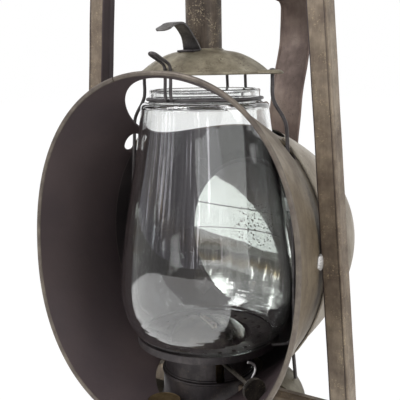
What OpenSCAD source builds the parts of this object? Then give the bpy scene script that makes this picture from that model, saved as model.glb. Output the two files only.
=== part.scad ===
// Railroad inspector lantern: a hot-blast oil lantern whose globe stands in a deep
// sheet-metal hood that opens to the front and carries a concave mirror at the back.
// The globe axis is the Z axis, the hood faces -Y and the tank stands on Z = 0.

/* [Tank] */
// Outer radius of the oil tank wall
tank_r = 68; // [60:0.5:76]
// Height of the straight tank wall
tank_wall_h = 34; // [26:0.5:40]
// Radius of the rolled shoulder between wall and dome
tank_shoulder_r = 12; // [9:0.5:14]
// Height of the top of the tank's dome
tank_top = 55.874311; // [54:0.1:56]
// Thickness of the tank sheet
tank_sheet = 0.8; // [0.5:0.1:1.2]
// Height of the rolled rim of the tank bottom
base_rim_h = 5; // [3:0.5:8]
// Radius of the filler neck
neck_r = 8.5; // [7:0.25:9.5]
// Radius of the filler cap
cap_r = 11; // [10:0.25:11.5]
// Height of the filler cap
cap_h = 9; // [7:0.5:11]

/* [Frame] */
// Half distance between the side tubes at the height of the bell
tube_half_gap = 87.8; // [84:0.1:92]
// Outward lean of the side tubes, run over rise
tube_splay = 0.072; // [0.04:0.002:0.09]
// Outer width of a tube, seen from the front
tube_w = 13.2; // [11:0.2:14.4]
// Outer depth of a tube, front to back
tube_d = 13; // [11:0.5:13.5]
// Place of the tube centre line, front to back
tube_y = -3.8; // [-5:0.1:-3]
// Thickness of the tube sheet
tube_sheet = 0.8; // [0.5:0.1:1.2]
// Height of the lower side of the bottom legs
leg_z = 56.3; // [56:0.1:57]
// Height of the lower side of the top arms
arm_z = 351; // [346:0.5:356]
// Outer radius of the collar under the globe plate
collar_r = 32.3; // [31:0.1:33.5]
// Height of the collar's rim
collar_top = 73; // [72:0.1:75]
// Outer radius of the chimney
chimney_r = 12.1; // [10:0.1:14]
// Radius of the drum on top of the frame
hub_r = 19.5; // [17:0.5:23]

/* [Hood] */
// Half width of the hood's front rim
rim_half_w = 102; // [98:0.5:106]
// Half height of the hood's front rim
rim_half_h = 116.7; // [112:0.1:119]
// Height of the middle of the front rim
rim_z = 165.2; // [163:0.1:168]
// Distance of the front rim in front of the globe axis
rim_y = 61.9; // [58:0.1:66]
// Power of the rim's oval, 2 for an ellipse
rim_power = 2.215; // [2:0.005:2.4]
// Forward-to-back lean of the rim
rim_lean = 2.1; // [0:0.1:4]
// Half width of the band where it joins the bowl
seam_half_w = 87.5; // [84:0.1:88]
// Half height of the band where it joins the bowl
seam_half_h = 98; // [94:0.5:100]
// Radius of the hole for the globe in the top of the hood
top_hole_r = 53.6; // [53:0.1:55]
// Radius of the hole for the collar in the floor of the hood
floor_hole_r = 38.3; // [38:0.1:40]
// Thickness of the hood sheet
hood_sheet = 0.9; // [0.6:0.1:1.2]
// Depth of the bowl behind the band
bowl_depth = 145; // [135:1:155]
// Radius of the mirror
mirror_r = 63; // [58:0.5:64]
// Radius of curvature of the mirror
mirror_curve_r = 110; // [95:1:140]

/* [Globe] */
// Height of the globe
globe_h = 171; // [165:1:173]
// Outer radius of the globe's neck
globe_neck_r = 37.2; // [36:0.1:37.4]
// Outer radius under the globe's shoulder
globe_shoulder_r = 43.6; // [42:0.1:45]
// Outer radius of the globe's belly
globe_belly_r = 60.7; // [58:0.1:61]
// Thickness of the glass
glass = 2.4; // [1.8:0.1:3]

/* [Globe lift] */
// Radius of the bell's rim
bell_r = 44; // [43.5:0.5:48]
// Height of the bell's rolled rim
bell_z = 279.3; // [278:0.1:282]
// Rise from the rim to the crown of the bell
bell_rise = 16.3; // [12:0.1:18]
// Radius of the globe plate's ring
plate_r = 50; // [49:0.1:51]
// Outer radius of the skirt under the globe plate
skirt_r = 31; // [30:0.1:31.1]
// Radius of the guard wires
guard_wire_r = 1.2; // [0.8:0.1:1.5]
// Width of the thumb strip
thumb_w = 9.5; // [7:0.5:12]

/* [Burner] */
// Width of the wick
wick_w = 25.4; // [20:0.2:25.4]
// Thickness of the wick
wick_t = 2.8; // [2:0.1:3]
// Radius of the wick shaft
shaft_r = 1.5; // [1.2:0.05:1.8]
// Height of the wick shaft
shaft_z = 88.7; // [87:0.1:89]
// Distance of the wick knob's face from the burner's centre
knob_reach = 80.6; // [76:0.2:80.6]
// Radius of the wick knob
knob_r = 7.2; // [6:0.1:7.4]

/* [Handles] */
// Half width of the wire bail
bail_half_w = 97; // [94:0.5:104]
// Length of the bail from pivot to grip
bail_reach = 108.8; // [104:0.1:112]
// Radius of the bail wire
bail_wire_r = 1.7; // [1.4:0.1:2]
// Width of the rear handle strap
strap_w = 28.5; // [24:0.5:32]
// Thickness of the rear handle strap
strap_t = 1.2; // [1:0.1:1.6]

/* [Hidden] */
$fn = 96;
fit = 0.1;               // side clearance between seated pieces
running = 0.08;          // radial clearance of a shaft in its bore

// Tank heights: the dome is a sphere that leaves the shoulder at dome_edge_a and ends at tank_top.
shoulder_c = tank_r - tank_shoulder_r;
dome_edge_a = 2 * atan((tank_top - tank_wall_h - tank_shoulder_r) / shoulder_c);
dome_edge_r = shoulder_c + tank_shoulder_r * sin(dome_edge_a);
dome_edge_z = tank_wall_h + tank_shoulder_r * cos(dome_edge_a);
dome_r = dome_edge_r / sin(dome_edge_a);
dome_c = dome_edge_z - dome_r * cos(dome_edge_a);
bottom_t = 1;
burner_hole_r = 18.3;
filler_x = -8;
filler_y = -43.5;
cap_gap = 0.3;
cap_skirt = 3.2;
gasket_t = 1.2;
cap_clear = 0.596;       // from the dome to the skirt of the cap
neck_top = dome_at(norm([filler_x, filler_y]) - cap_r) + cap_clear + cap_skirt;
seat_rise = 1.725689;    // from the top of the dome to the burner's flange
burner_seat = tank_top + seat_rise;

// Frame places
tube_ref_z = 290;
leg_h = 12.5;
arm_h = 13;
frame_top = arm_z + arm_h;
hub_z = arm_z - 1;
hub_h = 18;
chimney_foot = 284;
chimney_wall = 0.8;
collar_wall = 0.8;
bail_z = frame_top - 19.2;
ear_t = 2.4;
ear_foot = 0.45;

// Hood places
seam_y = 4;
seam_z = 161.5;
bowl_back_z = 153;
band_steps = 8;
band_sides = 64;
bowl_steps = 12;
bowl_sides = 56;
slot_x = 63;
slot_y = -2;
slot_r = 5.5;
rim_wire_r = 1.6;
mirror_y = 66;
mirror_z = 155;
mirror_t = 3;

// Globe lift places
globe_z = 269 - globe_h;
plate_floor_z = globe_z - 1.1;
plate_t = 0.8;
bell_sheet = 0.9;
wire_x = 51.5;
clip_z = 262.5;
clip_wire_r = 1.05;
clip_r = globe_neck_r + 0.4 + clip_wire_r;
thumb_pivot_y = -14.2;
thumb_pivot_z = bell_z + bell_rise + 1;
thumb_t = 1.2;

// Burner places, in the burner's own turned frame
shaft_a = -32.4;
wheel_r = 4;
wheel_gap = 0.05;
shaft_off = -(wick_t / 2 + wheel_gap + wheel_r);
drum_r = 17;
drum_top = 91;
wick_top = 107.5;
wick_foot = 8;
knob_t = 3.2;

// Points on an arc, and on a cubic curve through p0 and p3 pulled towards p1 and p2
function arc(cx, cy, r, a0, a1, n) =
    [for (i = [0:n]) [cx + r * cos(a0 + (a1 - a0) * i / n), cy + r * sin(a0 + (a1 - a0) * i / n)]];
function curve(p0, p1, p2, p3, n) =
    [for (i = [0:n]) let (t = i / n, s = 1 - t)
        s * s * s * p0 + 3 * s * s * t * p1 + 3 * s * t * t * p2 + t * t * t * p3];
function backwards(v) = [for (i = [len(v) - 1:-1:0]) v[i]];
function moved(v, d) = [for (p = v) p + d];
function unit(v) = v / norm(v);
function signed_pow(v, e) = sign(v) * pow(abs(v), e);

// Height of the tank dome's outer face at radius r
function dome_at(r) = dome_c + sqrt(dome_r * dome_r - r * r);
// Centre line of a side tube at height z
function tube_x(z) = tube_half_gap + tube_splay * (tube_ref_z - z);

// Hood surface: u runs from the seam (0) to the front rim (1) on the band, and from the
// seam (0) to the back (1) on the bowl; d is how far inside the outer face a point lies.
function band_half_w(u) = seam_half_w + (rim_half_w - seam_half_w) * pow(u, 1.3);
function band_ring(u, d) =
    let (hw = band_half_w(u) - d,
         hh = seam_half_h + (rim_half_h - seam_half_h) * u - d,
         zc = seam_z + (rim_z - seam_z) * u,
         e = 2 / (2 + (rim_power - 2) * u),
         y = seam_y - (seam_y + rim_y) * u)
    [for (i = [0:band_sides - 1]) let (a = 360 * i / band_sides, dz = hh * signed_pow(sin(a), e))
        [hw * signed_pow(cos(a), e), y + dz * sin(rim_lean) * u, zc + dz * cos(rim_lean * u)]];
// Height of the hood floor's inner face below the middle
function hood_floor_z(x, y) =
    let (u = (seam_y - y) / (seam_y + rim_y), n = 2 + (rim_power - 2) * u,
         hw = band_half_w(u) - hood_sheet,
         hh = seam_half_h + (rim_half_h - seam_half_h) * u - hood_sheet)
    seam_z + (rim_z - seam_z) * u - hh * pow(1 - pow(x / hw, n), 1 / n);
function bowl_half_w(u) = seam_half_w * pow(1 - pow(u, 1.8), 1 / 2.4);
function bowl_half_h(u) = bowl_half_w(u) * (1 + (seam_half_h / seam_half_w - 1) * pow(1 - u, 4));
function bowl_mid_z(u) = bowl_back_z + (seam_z - bowl_back_z) * pow(1 - u, 2);
function bowl_ring(u, d, last) =
    [for (i = [0:bowl_sides - 1]) let (a = 360 * i / bowl_sides)
        [(bowl_half_w(u) - d) * cos(a), seam_y + bowl_depth * u - (last ? d : 0),
         bowl_mid_z(u) + (bowl_half_h(u) - d) * sin(a)]];
function bowl_u(i) = 0.998 * sin(90 * i / bowl_steps);
function bowl_top_z(y) = let (u = (y - seam_y) / bowl_depth) bowl_mid_z(u) + bowl_half_h(u);
function bowl_under_z(x, y) =
    let (u = (y - seam_y) / bowl_depth)
    bowl_mid_z(u) - bowl_half_h(u) * sqrt(1 - pow(x / bowl_half_w(u), 2));

// A solid from rings of points, open ends capped, or the last ring joined to the first
module loft(rings, joined = false) {
    n = len(rings[0]);
    m = len(rings);
    steps = joined ? m - 1 : m - 2;
    sides = [for (i = [0:steps]) for (j = [0:n - 1])
        let (a = i * n + j, b = i * n + (j + 1) % n,
             c = ((i + 1) % m) * n + (j + 1) % n, d = ((i + 1) % m) * n + j)
        each [[a, d, c], [a, c, b]]];
    caps = joined ? [] : [[for (j = [0:n - 1]) j], [for (j = [n - 1:-1:0]) (m - 1) * n + j]];
    polyhedron(points = [for (r = rings) each r], faces = concat(sides, caps), convexity = 10);
}

// A round wire of radius r along points p that lie in a plane square to up
module wire(p, r, up, sides = 10, joined = false) {
    n = len(p);
    function along(i) = unit(
        joined ? p[(i + 1) % n] - p[(i + n - 1) % n]
               : p[min(i + 1, n - 1)] - p[max(i - 1, 0)]);
    loft([for (i = [0:n - 1]) let (t = along(i), s = unit(cross(up, t)), v = cross(t, s))
        [for (j = [0:sides - 1]) p[i] + r * (cos(360 * j / sides) * s + sin(360 * j / sides) * v)]],
        joined);
}

// A bent sheet strip: the centre line c lies in the YZ plane, w is its width along X
module strip(c, t, w) {
    n = len(c);
    function side(i) = let (d = unit(c[min(i + 1, n - 1)] - c[max(i - 1, 0)])) [-d[1], d[0]] * t / 2;
    rotate([90, 0, 90]) linear_extrude(w, center = true)
        polygon(concat([for (i = [0:n - 1]) c[i] + side(i)],
                       [for (i = [n - 1:-1:0]) c[i] - side(i)]));
}

module in_burner_frame() rotate([0, 0, shaft_a]) children();
module along_x(x0, x1, r) translate([x0, 0, 0]) rotate([0, 90, 0]) cylinder(r = r, h = x1 - x0);

// Tank

module tank_bottom() color("#4a4038") rotate_extrude()
    polygon([[0, 0], [50, 0], [50.4, 0.4], [53.6, 0.4], [54, 0],
             [tank_r + fit + 1.6, 0], [tank_r + fit + 1.6, base_rim_h], [tank_r + fit, base_rim_h],
             [tank_r + fit, bottom_t], [0, bottom_t]]);

function tank_line(d) = concat(
    [[tank_r - d, bottom_t]],
    arc(shoulder_c, tank_wall_h, tank_shoulder_r - d, 0, 90 - dome_edge_a, 8),
    arc(0, dome_c, dome_r - d, 90 - dome_edge_a, acos(burner_hole_r / (dome_r - d)), 10));

module tank_shell() color("#6a5c48") difference() {
    rotate_extrude() polygon(concat(tank_line(0), backwards(tank_line(tank_sheet))));
    translate([filler_x, filler_y, 0]) cylinder(r = neck_r + fit, h = 100);
}

module burner_ring() color("#8a7448") rotate_extrude()
    polygon([[17, 50], [burner_hole_r - fit, 50], [burner_hole_r - fit, dome_at(burner_hole_r) + fit],
             [22, dome_at(burner_hole_r) + fit], [22, dome_at(burner_hole_r) + 1.1], [17, burner_seat - fit]]);

module filler_neck() color("#7a6a50") translate([filler_x, filler_y, 0]) difference() {
    cylinder(r = neck_r, h = neck_top);
    translate([0, 0, -1]) cylinder(r = neck_r - 0.9, h = neck_top + 2);
    cylinder(r = neck_r + 1, h = neck_top - 9);
}

module lower_collar() color("#5c4c3e") difference() {
    rotate_extrude() polygon([
        [collar_r - collar_wall, dome_at(collar_r - collar_wall) + fit],
        [collar_r, dome_at(collar_r - collar_wall) + fit],
        [collar_r, collar_top - 1.2], [collar_r + 0.5, collar_top - 0.9],
        [collar_r + 0.5, collar_top], [collar_r - collar_wall, collar_top]]);
    for (s = [-1, 1])
        translate([s * collar_r, tube_y, leg_z + leg_h / 2])
            cube([12, tube_d + 0.1, leg_h + 0.1], center = true);
}

// Half-round cradle on the back of the tank, under the bowl
saddle_in_r = 44.5;
saddle_out_r = tank_r + 0.9;
saddle_top = 69.9;
saddle_foot = tank_wall_h - 1;
function saddle_line(d) = concat(
    curve([saddle_in_r, saddle_top - d], [58, 68.5 - d], [saddle_out_r - d, 60],
          [saddle_out_r - d, 46], 12),
    [[saddle_out_r - d, saddle_foot]]);

module bowl_saddle() color("#6e6450") difference() {
    rotate([0, 0, 8]) rotate_extrude(angle = 164) polygon(concat(
        [[saddle_in_r, dome_at(saddle_in_r) + fit]], saddle_line(0), [[tank_r + fit, saddle_foot]],
        [for (p = tank_line(-fit)) if (p[0] > saddle_in_r + 1 && p[1] > saddle_foot) p]));
    rotate([0, 0, 9]) rotate_extrude(angle = 162) polygon(concat(
        [[saddle_in_r + 0.8, saddle_foot - 5], [saddle_in_r + 0.8, saddle_top - 1]],
        [for (p = saddle_line(0.8)) if (p[0] > saddle_in_r + 1) p],
        [[saddle_out_r - 0.8, saddle_foot - 5]]));
}

// Frame of square tubes

// Outline of a bent tube in the XZ plane, d inside its outer faces
function tube_line(d) =
    let (z0 = leg_z + d, z1 = leg_z + leg_h - d, z2 = arm_z + d, z3 = frame_top - d,
         h = tube_w / 2 - d, k = atan(tube_splay), ro = 13 - d)
    concat(
        [[20, z0]],
        arc(tube_x(z0 + ro) + h - ro, z0 + ro, ro, -90, -k, 6),
        arc(tube_x(z3 - ro) + h - ro, z3 - ro, ro, -k, 90, 6),
        [[8, z3], [8, z2], [tube_x(z2) - h, z2], [tube_x(z1) - h, z1], [20, z1]]);

module air_tube() difference() {
    translate([0, tube_y + tube_d / 2, 0]) rotate([90, 0, 0])
        linear_extrude(tube_d) polygon(tube_line(0));
    translate([0, tube_y + tube_d / 2 - tube_sheet, 0]) rotate([90, 0, 0])
        linear_extrude(tube_d - 2 * tube_sheet) polygon(concat(
            [[0, leg_z + tube_sheet]],
            [for (i = [1:len(tube_line(tube_sheet)) - 2]) tube_line(tube_sheet)[i]],
            [[0, leg_z + leg_h - tube_sheet]]));
    cylinder(r = collar_r - collar_wall + 0.05, h = 200);
    translate([0, 0, 200]) cylinder(r = hub_r - tube_sheet + 0.05, h = 200);
}

module right_air_tube() color("#7a6a52") air_tube();
module left_air_tube() color("#6e5e4a") mirror([1, 0, 0]) air_tube();

module top_hub() color("#6b5c48") difference() {
    translate([0, 0, hub_z]) cylinder(r = hub_r, h = hub_h);
    translate([0, 0, hub_z + 0.8]) cylinder(r = hub_r - 0.8, h = hub_h);
    cylinder(r = chimney_r + fit, h = 400);
    translate([0, tube_y, arm_z + arm_h / 2])
        cube([3 * hub_r, tube_d + 0.1, arm_h + 0.1], center = true);
}

module top_cap() color("#5f5140") rotate_extrude() polygon(concat(
    [[hub_r + fit, frame_top + 0.2], [hub_r + 0.9, frame_top + 0.2]],
    curve([hub_r + 0.9, hub_z + hub_h], [hub_r - 1, hub_z + hub_h + 5],
          [10, hub_z + hub_h + 8], [0, hub_z + hub_h + 8], 10),
    backwards(curve([hub_r + fit, hub_z + hub_h + fit], [hub_r - 2, hub_z + hub_h + 4.2],
          [10, hub_z + hub_h + 7.1], [0, hub_z + hub_h + 7.1], 10))));

module chimney() color("#64583f") translate([0, 0, chimney_foot]) difference() {
    cylinder(r = chimney_r, h = hub_z + 2 - chimney_foot);
    translate([0, 0, -1]) cylinder(r = chimney_r - chimney_wall, h = 100);
}

module bail_ears() color("#5a4c3c") for (s = [-1, 1]) difference() {
    translate([s * (tube_x(bail_z) + tube_w / 2 + ear_foot), tube_y, bail_z])
        rotate([0, s * 90, 0]) cylinder(r = 5.5, h = ear_t);
    translate([0, tube_y, bail_z]) rotate([0, s * 90, 0])
        cylinder(r = bail_wire_r + running, h = 110);
}

// Hood

module hood_openings() {
    translate([0, 0, seam_z]) cylinder(r = top_hole_r, h = 200);
    cylinder(r = floor_hole_r, h = seam_z);
    translate([filler_x, filler_y, 0]) cylinder(r = cap_r + 2, h = 100);
    for (s = [-1, 1]) translate([s * slot_x, slot_y, seam_z]) cylinder(r = slot_r, h = 200, $fn = 48);
}

module hood_band() color("#4b413a") difference() {
    loft(concat([for (i = [0:band_steps]) band_ring(i / band_steps, 0)],
                [for (i = [band_steps:-1:0]) band_ring(i / band_steps, hood_sheet)]), joined = true);
    hood_openings();
}

module hood_rim_wire() color("#45403c") let (r = band_ring(1, -rim_wire_r))
    wire(moved(r, [0, -rim_wire_r, 0]), rim_wire_r, [0, cos(rim_lean), -sin(rim_lean)], 8, true);

// Folded seam between band and bowl, left open where the holes cut it
module hood_seam() color("#55493e") for (s = [0, 1]) mirror([s, 0, 0])
    wire([for (i = [0:20]) let (a = -62 + (50 + 62) * i / 20)
        [(seam_half_w + 1) * cos(a), seam_y, seam_z + (seam_half_h + 1) * sin(a)]],
        0.9, [0, 1, 0], 6);

module reflector_bowl() color("#85755d") difference() {
    loft(concat([for (i = [bowl_steps:-1:1]) bowl_ring(bowl_u(i), 0, false)],
                [moved(bowl_ring(0, 0, false), [0, 0.1, 0]),
                 moved(bowl_ring(0, hood_sheet, false), [0, 0.1, 0])],
                [for (i = [1:bowl_steps]) bowl_ring(bowl_u(i), hood_sheet, i == bowl_steps)]));
    hood_openings();
}

module about_mirror_axis() translate([0, mirror_y, mirror_z]) rotate([-90, 0, 0]) children();

module reflector_mirror() color("#c9ccca") about_mirror_axis() let (
    edge_a = asin(mirror_r / mirror_curve_r), back = mirror_curve_r * cos(edge_a))
    rotate_extrude() polygon(concat(
        arc(0, -back, mirror_curve_r, 90 - edge_a, 90, 16),
        backwards(arc(0, -back + mirror_t, mirror_curve_r, 90 - edge_a, 90, 16))));

module mirror_ring() color("#77706a") about_mirror_axis() rotate_extrude()
    polygon([[mirror_r - 2, -1.2], [mirror_r + 1.2, -1.2], [mirror_r + 1.2, 5],
             [mirror_r + 0.4, 5], [mirror_r + 0.4, -0.4], [mirror_r - 2, -0.4]]);

// Distance from the mirror's axis to the bowl's inner wall in the direction a
function bowl_reach(a) =
    let (u = (mirror_y + 1.5 - seam_y) / bowl_depth, off = mirror_z - bowl_mid_z(u),
         w2 = pow(bowl_half_w(u) - hood_sheet, 2), h2 = pow(bowl_half_h(u) - hood_sheet, 2),
         p = cos(a) * cos(a) / w2 + sin(a) * sin(a) / h2, q = -off * sin(a) / h2)
    (-q + sqrt(q * q - p * (off * off / h2 - 1))) / p;

module mirror_lugs() color("#6c645c") about_mirror_axis() for (a = [45:90:315])
    rotate([0, 0, a]) translate([mirror_r + 1.3, -5, 1])
        cube([bowl_reach(a) - mirror_r - 2.1, 10, 1]);

brace_foot = [54.5, 28.5];
brace_head = [50, 33];
function saddle_z(r) = lookup(r, [for (p = saddle_line(0)) [p[0], p[1]]]);

module bowl_braces() color("#4a443e") for (s = [-1, 1]) mirror([s < 0 ? 1 : 0, 0, 0]) let (
    p0 = [brace_foot[0], brace_foot[1], saddle_z(norm(brace_foot)) + 1.4],
    p1 = [brace_head[0], brace_head[1], bowl_under_z(brace_head[0], brace_head[1]) - 1])
    wire([p0, (p0 + p1) / 2, p1], 1.3, [0, 1, 0], 10);

// Solder between the side tubes and the hood
joint_z = 165;
joint_depth = 2.504774;   // from the widest line of the band inwards
joint_in = band_half_w((seam_y - tube_y) / (seam_y + rim_y)) - joint_depth;
joint_out = tube_x(joint_z) - tube_w / 2 - 0.3;
module hood_joints() color("#9a968c") difference() {
    for (s = [-1, 1]) translate([s * (joint_in + joint_out) / 2, tube_y, joint_z])
        cube([joint_out - joint_in, tube_d - 3, 9], center = true);
    for (s = [0, 1]) mirror([s, 0, 0]) translate([0, tube_y + tube_d / 2, 0]) rotate([90, 0, 0])
        linear_extrude(tube_d) polygon(tube_line(-0.1));
    loft([for (i = [0:band_steps]) band_ring(i / band_steps, -0.1)]);
}

strap_lift = 1.3;
strap_bend_r = 14;
strap_back_y = 132;
strap_bend_z = 325;
strap_line = concat(
    [for (y = [128, 124, 120, 116]) [y, bowl_top_z(y) + strap_lift]],
    [[113.2, 217.5], [113.4, 223], [116.5, 240], [120, 256], [124.5, 271], [128.6, 285],
     [131.3, 296], [strap_back_y, 304]],
    arc(strap_back_y - strap_bend_r, strap_bend_z, strap_bend_r, 0, 80, 8),
    [[10, strap_bend_z + strap_bend_r * sin(80)
        + (strap_back_y - strap_bend_r + strap_bend_r * cos(80) - 10) * tan(10)]]);

module rear_handle() color("#6a5a4c") difference() {
    union() {
        strip(strap_line, strap_t, strap_w);
        for (s = [-1, 1]) translate([s * (strap_w / 2 - 1.5), 0, 0])
            strip([for (i = [3:len(strap_line) - 1]) strap_line[i]], strap_t + 1.2, 3);
    }
    translate([0, 0, hub_z - 20]) cylinder(r = hub_r + 0.1, h = 60);
}

module handle_rivets() color("#5c5046") for (x = [-8, 8], y = [118, 125])
    let (slope = atan((bowl_top_z(y + 1) - bowl_top_z(y - 1)) / 2))
    translate([x, y, bowl_top_z(y)]) rotate([slope, 0, 0])
        translate([0, 0, strap_lift * cos(slope) + strap_t / 2 + 0.1])
            cylinder(r1 = 2.4, r2 = 1.4, h = 1.2, $fn = 32);

// Burner

module burner_body() color("#8b7340") in_burner_frame() difference() {
    rotate_extrude() polygon([
        [0, burner_seat], [16.1, burner_seat], [16.1, 51], [17 - fit, 51], [17 - fit, burner_seat],
        [22, burner_seat], [22, burner_seat + 1.2], [drum_r, burner_seat + 1.2], [drum_r, drum_top],
        [drum_r - 0.8, drum_top], [drum_r - 0.8, burner_seat + 1.2], [0, burner_seat + 1.2]]);
    translate([0, 0, burner_seat]) cube([wick_w + 3.2, wick_t + 2.8, 20], center = true);
    translate([0, shaft_off, shaft_z]) along_x(-30, 30, shaft_r + running);
    for (a = [15:30:345]) rotate([0, 0, a]) translate([0, 0, 67]) along_x(12, 20, 2);
}

module burner_gallery() color("#6f6148") difference() {
    translate([0, 0, 61.5]) cylinder(r = collar_r - collar_wall - 0.2, h = 0.8);
    translate([0, 0, 60]) cylinder(r = drum_r + 0.2, h = 4);
    for (a = [0:15:345]) rotate([0, 0, a]) translate([26, 0, 60]) cylinder(r = 1.5, h = 4, $fn = 24);
    for (a = [7.5:15:352.5]) rotate([0, 0, a]) translate([21, 0, 60]) cylinder(r = 1.2, h = 4, $fn = 24);
}

module wick_tube() color("#94804e") in_burner_frame() difference() {
    translate([0, 0, 77]) cube([wick_w + 3, wick_t + 2.6, 54], center = true);
    translate([0, 0, 77]) cube([wick_w + 0.8, wick_t + 0.6, 60], center = true);
    translate([0, -wick_t / 2 - 1.2, shaft_z]) cube([22, 2.4, 9.4], center = true);
}

module burner_cone() color("#84704a") in_burner_frame() difference() {
    rotate_extrude() polygon(concat(
        [[15.2, drum_top], [27.5, drum_top]],
        curve([27.5, drum_top + 0.8], [28, 99], [22, 104], [12, 106.6], 10),
        [[0, 107.4], [0, 106.6]],
        backwards(curve([26.6, drum_top + 0.8], [27.1, 98.6], [21.5, 103.2], [12, 105.8], 10)),
        [[15.2, drum_top + 0.8]]));
    translate([0, 0, 105]) cube([wick_w + 5.6, 8, 10], center = true);
    for (a = [0:20:340]) rotate([0, 0, a]) translate([22, 0, drum_top - 1])
        cylinder(r = 1.4, h = 3, $fn = 24);
}

// Wire eye that carries the outer end of the shaft, with its twisted end hooked over
eye_wire_r = 0.8;
eye_r = shaft_r + 0.3 + eye_wire_r;
eye_x = knob_reach - 6;
eye_foot_z = hood_floor_z(
    eye_x * cos(shaft_a) - shaft_off * sin(shaft_a),
    eye_x * sin(shaft_a) + shaft_off * cos(shaft_a)) + 2;
module shaft_eye() color("#a8a49c") in_burner_frame()
    translate([eye_x, shaft_off, shaft_z]) {
        rotate([0, 90, 0]) rotate_extrude() translate([eye_r, 0]) circle(r = eye_wire_r, $fn = 24);
        wire([for (p = [[0, -eye_r], [0.3, -5], [0, eye_foot_z - shaft_z]]) [0, p[0], p[1]]],
            eye_wire_r, [1, 0, 0], 8);
        wire([for (p = [[0, eye_r], [0.5, 6], [2.4, 9.6], [2.6, 12.6], [0.8, 15.2], [-2.4, 16.6]])
            [0, p[0], p[1]]], eye_wire_r, [1, 0, 0], 8);
    }

// Globe lift

function bell_line(d) = curve([bell_r, bell_z - d * 0.6], [bell_r - 7, bell_z + 0.55 * bell_rise - d],
    [bell_r - 18, bell_z + 0.92 * bell_rise - d], [chimney_r + 1.2, bell_z + bell_rise - d], 12);

module bell() color("#7f7350") difference() {
    rotate_extrude() {
        polygon(concat(bell_line(0),
            [[chimney_r + 1.2, bell_z + bell_rise + 3], [chimney_r + 0.3, bell_z + bell_rise + 3],
             [chimney_r + 0.3, bell_z + bell_rise - bell_sheet]],
            backwards(bell_line(bell_sheet))));
        translate([bell_r, bell_z]) circle(r = 1, $fn = 24);
    }
    for (s = [-1, 1], leg = [[loop_half_w, -clip_leg_y], [rear_leg_x, clip_leg_y]])
        translate([s * leg[0], leg[1], bell_z - 2])
            cylinder(r = clip_wire_r + 0.3, h = 20, $fn = 24);
}

module bell_ears() color("#746748") for (s = [0, 1]) mirror([s, 0, 0]) difference() {
    translate([0, 0, bell_z + 0.1]) linear_extrude(1.2) union() {
        translate([bell_r + 1.02, -6]) square([56.4 - bell_r - 1.02, 12]);
        translate([56.4, 0]) circle(r = 6);
    }
    translate([wire_x, 0, bell_z - 2]) cylinder(r = guard_wire_r + 0.15, h = 5, $fn = 32);
}

guard_side_x = 66.9;
module guard_wire() {
    wire([for (p = [[wire_x, bell_z + 4], [wire_x, bell_z - 6], [wire_x, 264.5], [52.3, 262],
                    [60, 249.6], [61.1, 246.6], [62.3, 232], [65, 196], [66.7, 162],
                    [guard_side_x, 130], [guard_side_x, 112], [66, 106.5], [63, 102.6], [58, 100.6],
                    [plate_r + 1.1, 98.6]]) [p[0], 0, p[1]]], guard_wire_r, [0, 1, 0], 10);
    translate([wire_x, 0, bell_z + 3.5]) sphere(r = 2, $fn = 24);
}
module right_guard_wire() color("#4c4640") guard_wire();
module left_guard_wire() color("#4c4640") mirror([1, 0, 0]) guard_wire();

back_wire_r = 0.9;
module back_guard_wire() color("#4c4640") let (x = guard_side_x + guard_wire_r + back_wire_r + 0.05)
    wire(concat([[x - 1.2, -2.8, 159.5]],
        [for (a = [0:9:180]) [x * cos(a), 62 * sin(a), 159.5]],
        [[1.2 - x, -2.8, 159.5]]), back_wire_r, [0, 0, 1], 8);

module globe_plate() color("#5a4e42") difference() {
    rotate_extrude() polygon([
        [skirt_r - 0.8, 67], [skirt_r, 67], [skirt_r, collar_top + 0.2],
        [skirt_r + 1.1, collar_top + 0.4], [skirt_r + 1.1, collar_top + 1.2], [skirt_r, collar_top + 1.4],
        [skirt_r, plate_floor_z], [plate_r - 0.8, plate_floor_z], [plate_r - 0.8, 94.2], [plate_r, 94],
        [plate_r, plate_floor_z + 2], [plate_r - 0.8, plate_floor_z + 2.3],
        [plate_r - 0.8, plate_floor_z + plate_t], [skirt_r - 0.8, plate_floor_z + plate_t]]);
    in_burner_frame() translate([skirt_r, shaft_off, (60 + shaft_z + 3) / 2])
        cube([8, 6, shaft_z + 3 - 60], center = true);
    for (a = [0:15:345]) rotate([0, 0, a]) translate([37, 0, plate_floor_z - 1])
        cylinder(r = 1.5, h = 4, $fn = 24);
}

belly_z = globe_z + 33;
function globe_wall(d) = concat(
    curve([48 - d, globe_z + 0.8], [54 - d, globe_z + 6], [globe_belly_r - d, globe_z + 16],
          [globe_belly_r - d, belly_z], 10),
    curve([globe_belly_r - d, belly_z], [globe_belly_r - d, belly_z + 34],
          [globe_shoulder_r + 3.9 - d, globe_z + 117], [globe_shoulder_r - d, globe_z + 152], 16));
module globe() color([0.85, 0.92, 0.88, 0.35]) rotate_extrude() let (top = globe_z + globe_h)
    polygon(concat(
        [[48 - glass, globe_z], [47, globe_z]], globe_wall(0),
        [[globe_shoulder_r + 0.6, top - 16.5], [globe_shoulder_r, top - 14.2],
         [globe_neck_r + 2.4, top - 12.6], [globe_neck_r + 0.4, top - 11.2],
         [globe_neck_r, top - 9.5], [globe_neck_r, top - 1], [globe_neck_r - 0.8, top],
         [globe_neck_r - 2, top], [globe_neck_r - 2.8, top - 1], [globe_neck_r - 2.8, top - 10.5],
         [globe_neck_r - 0.5, top - 14], [globe_shoulder_r - glass, top - 17]],
        backwards(globe_wall(glass))));

catch_foot_y = -18.4;
module catch_foot() color("#544a40")
    translate([0, catch_foot_y, lookup(-catch_foot_y, backwards(bell_line(0))) + 0.65])
        rotate([7, 0, 0]) cube([thumb_w, 7, 0.9], center = true);

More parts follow.
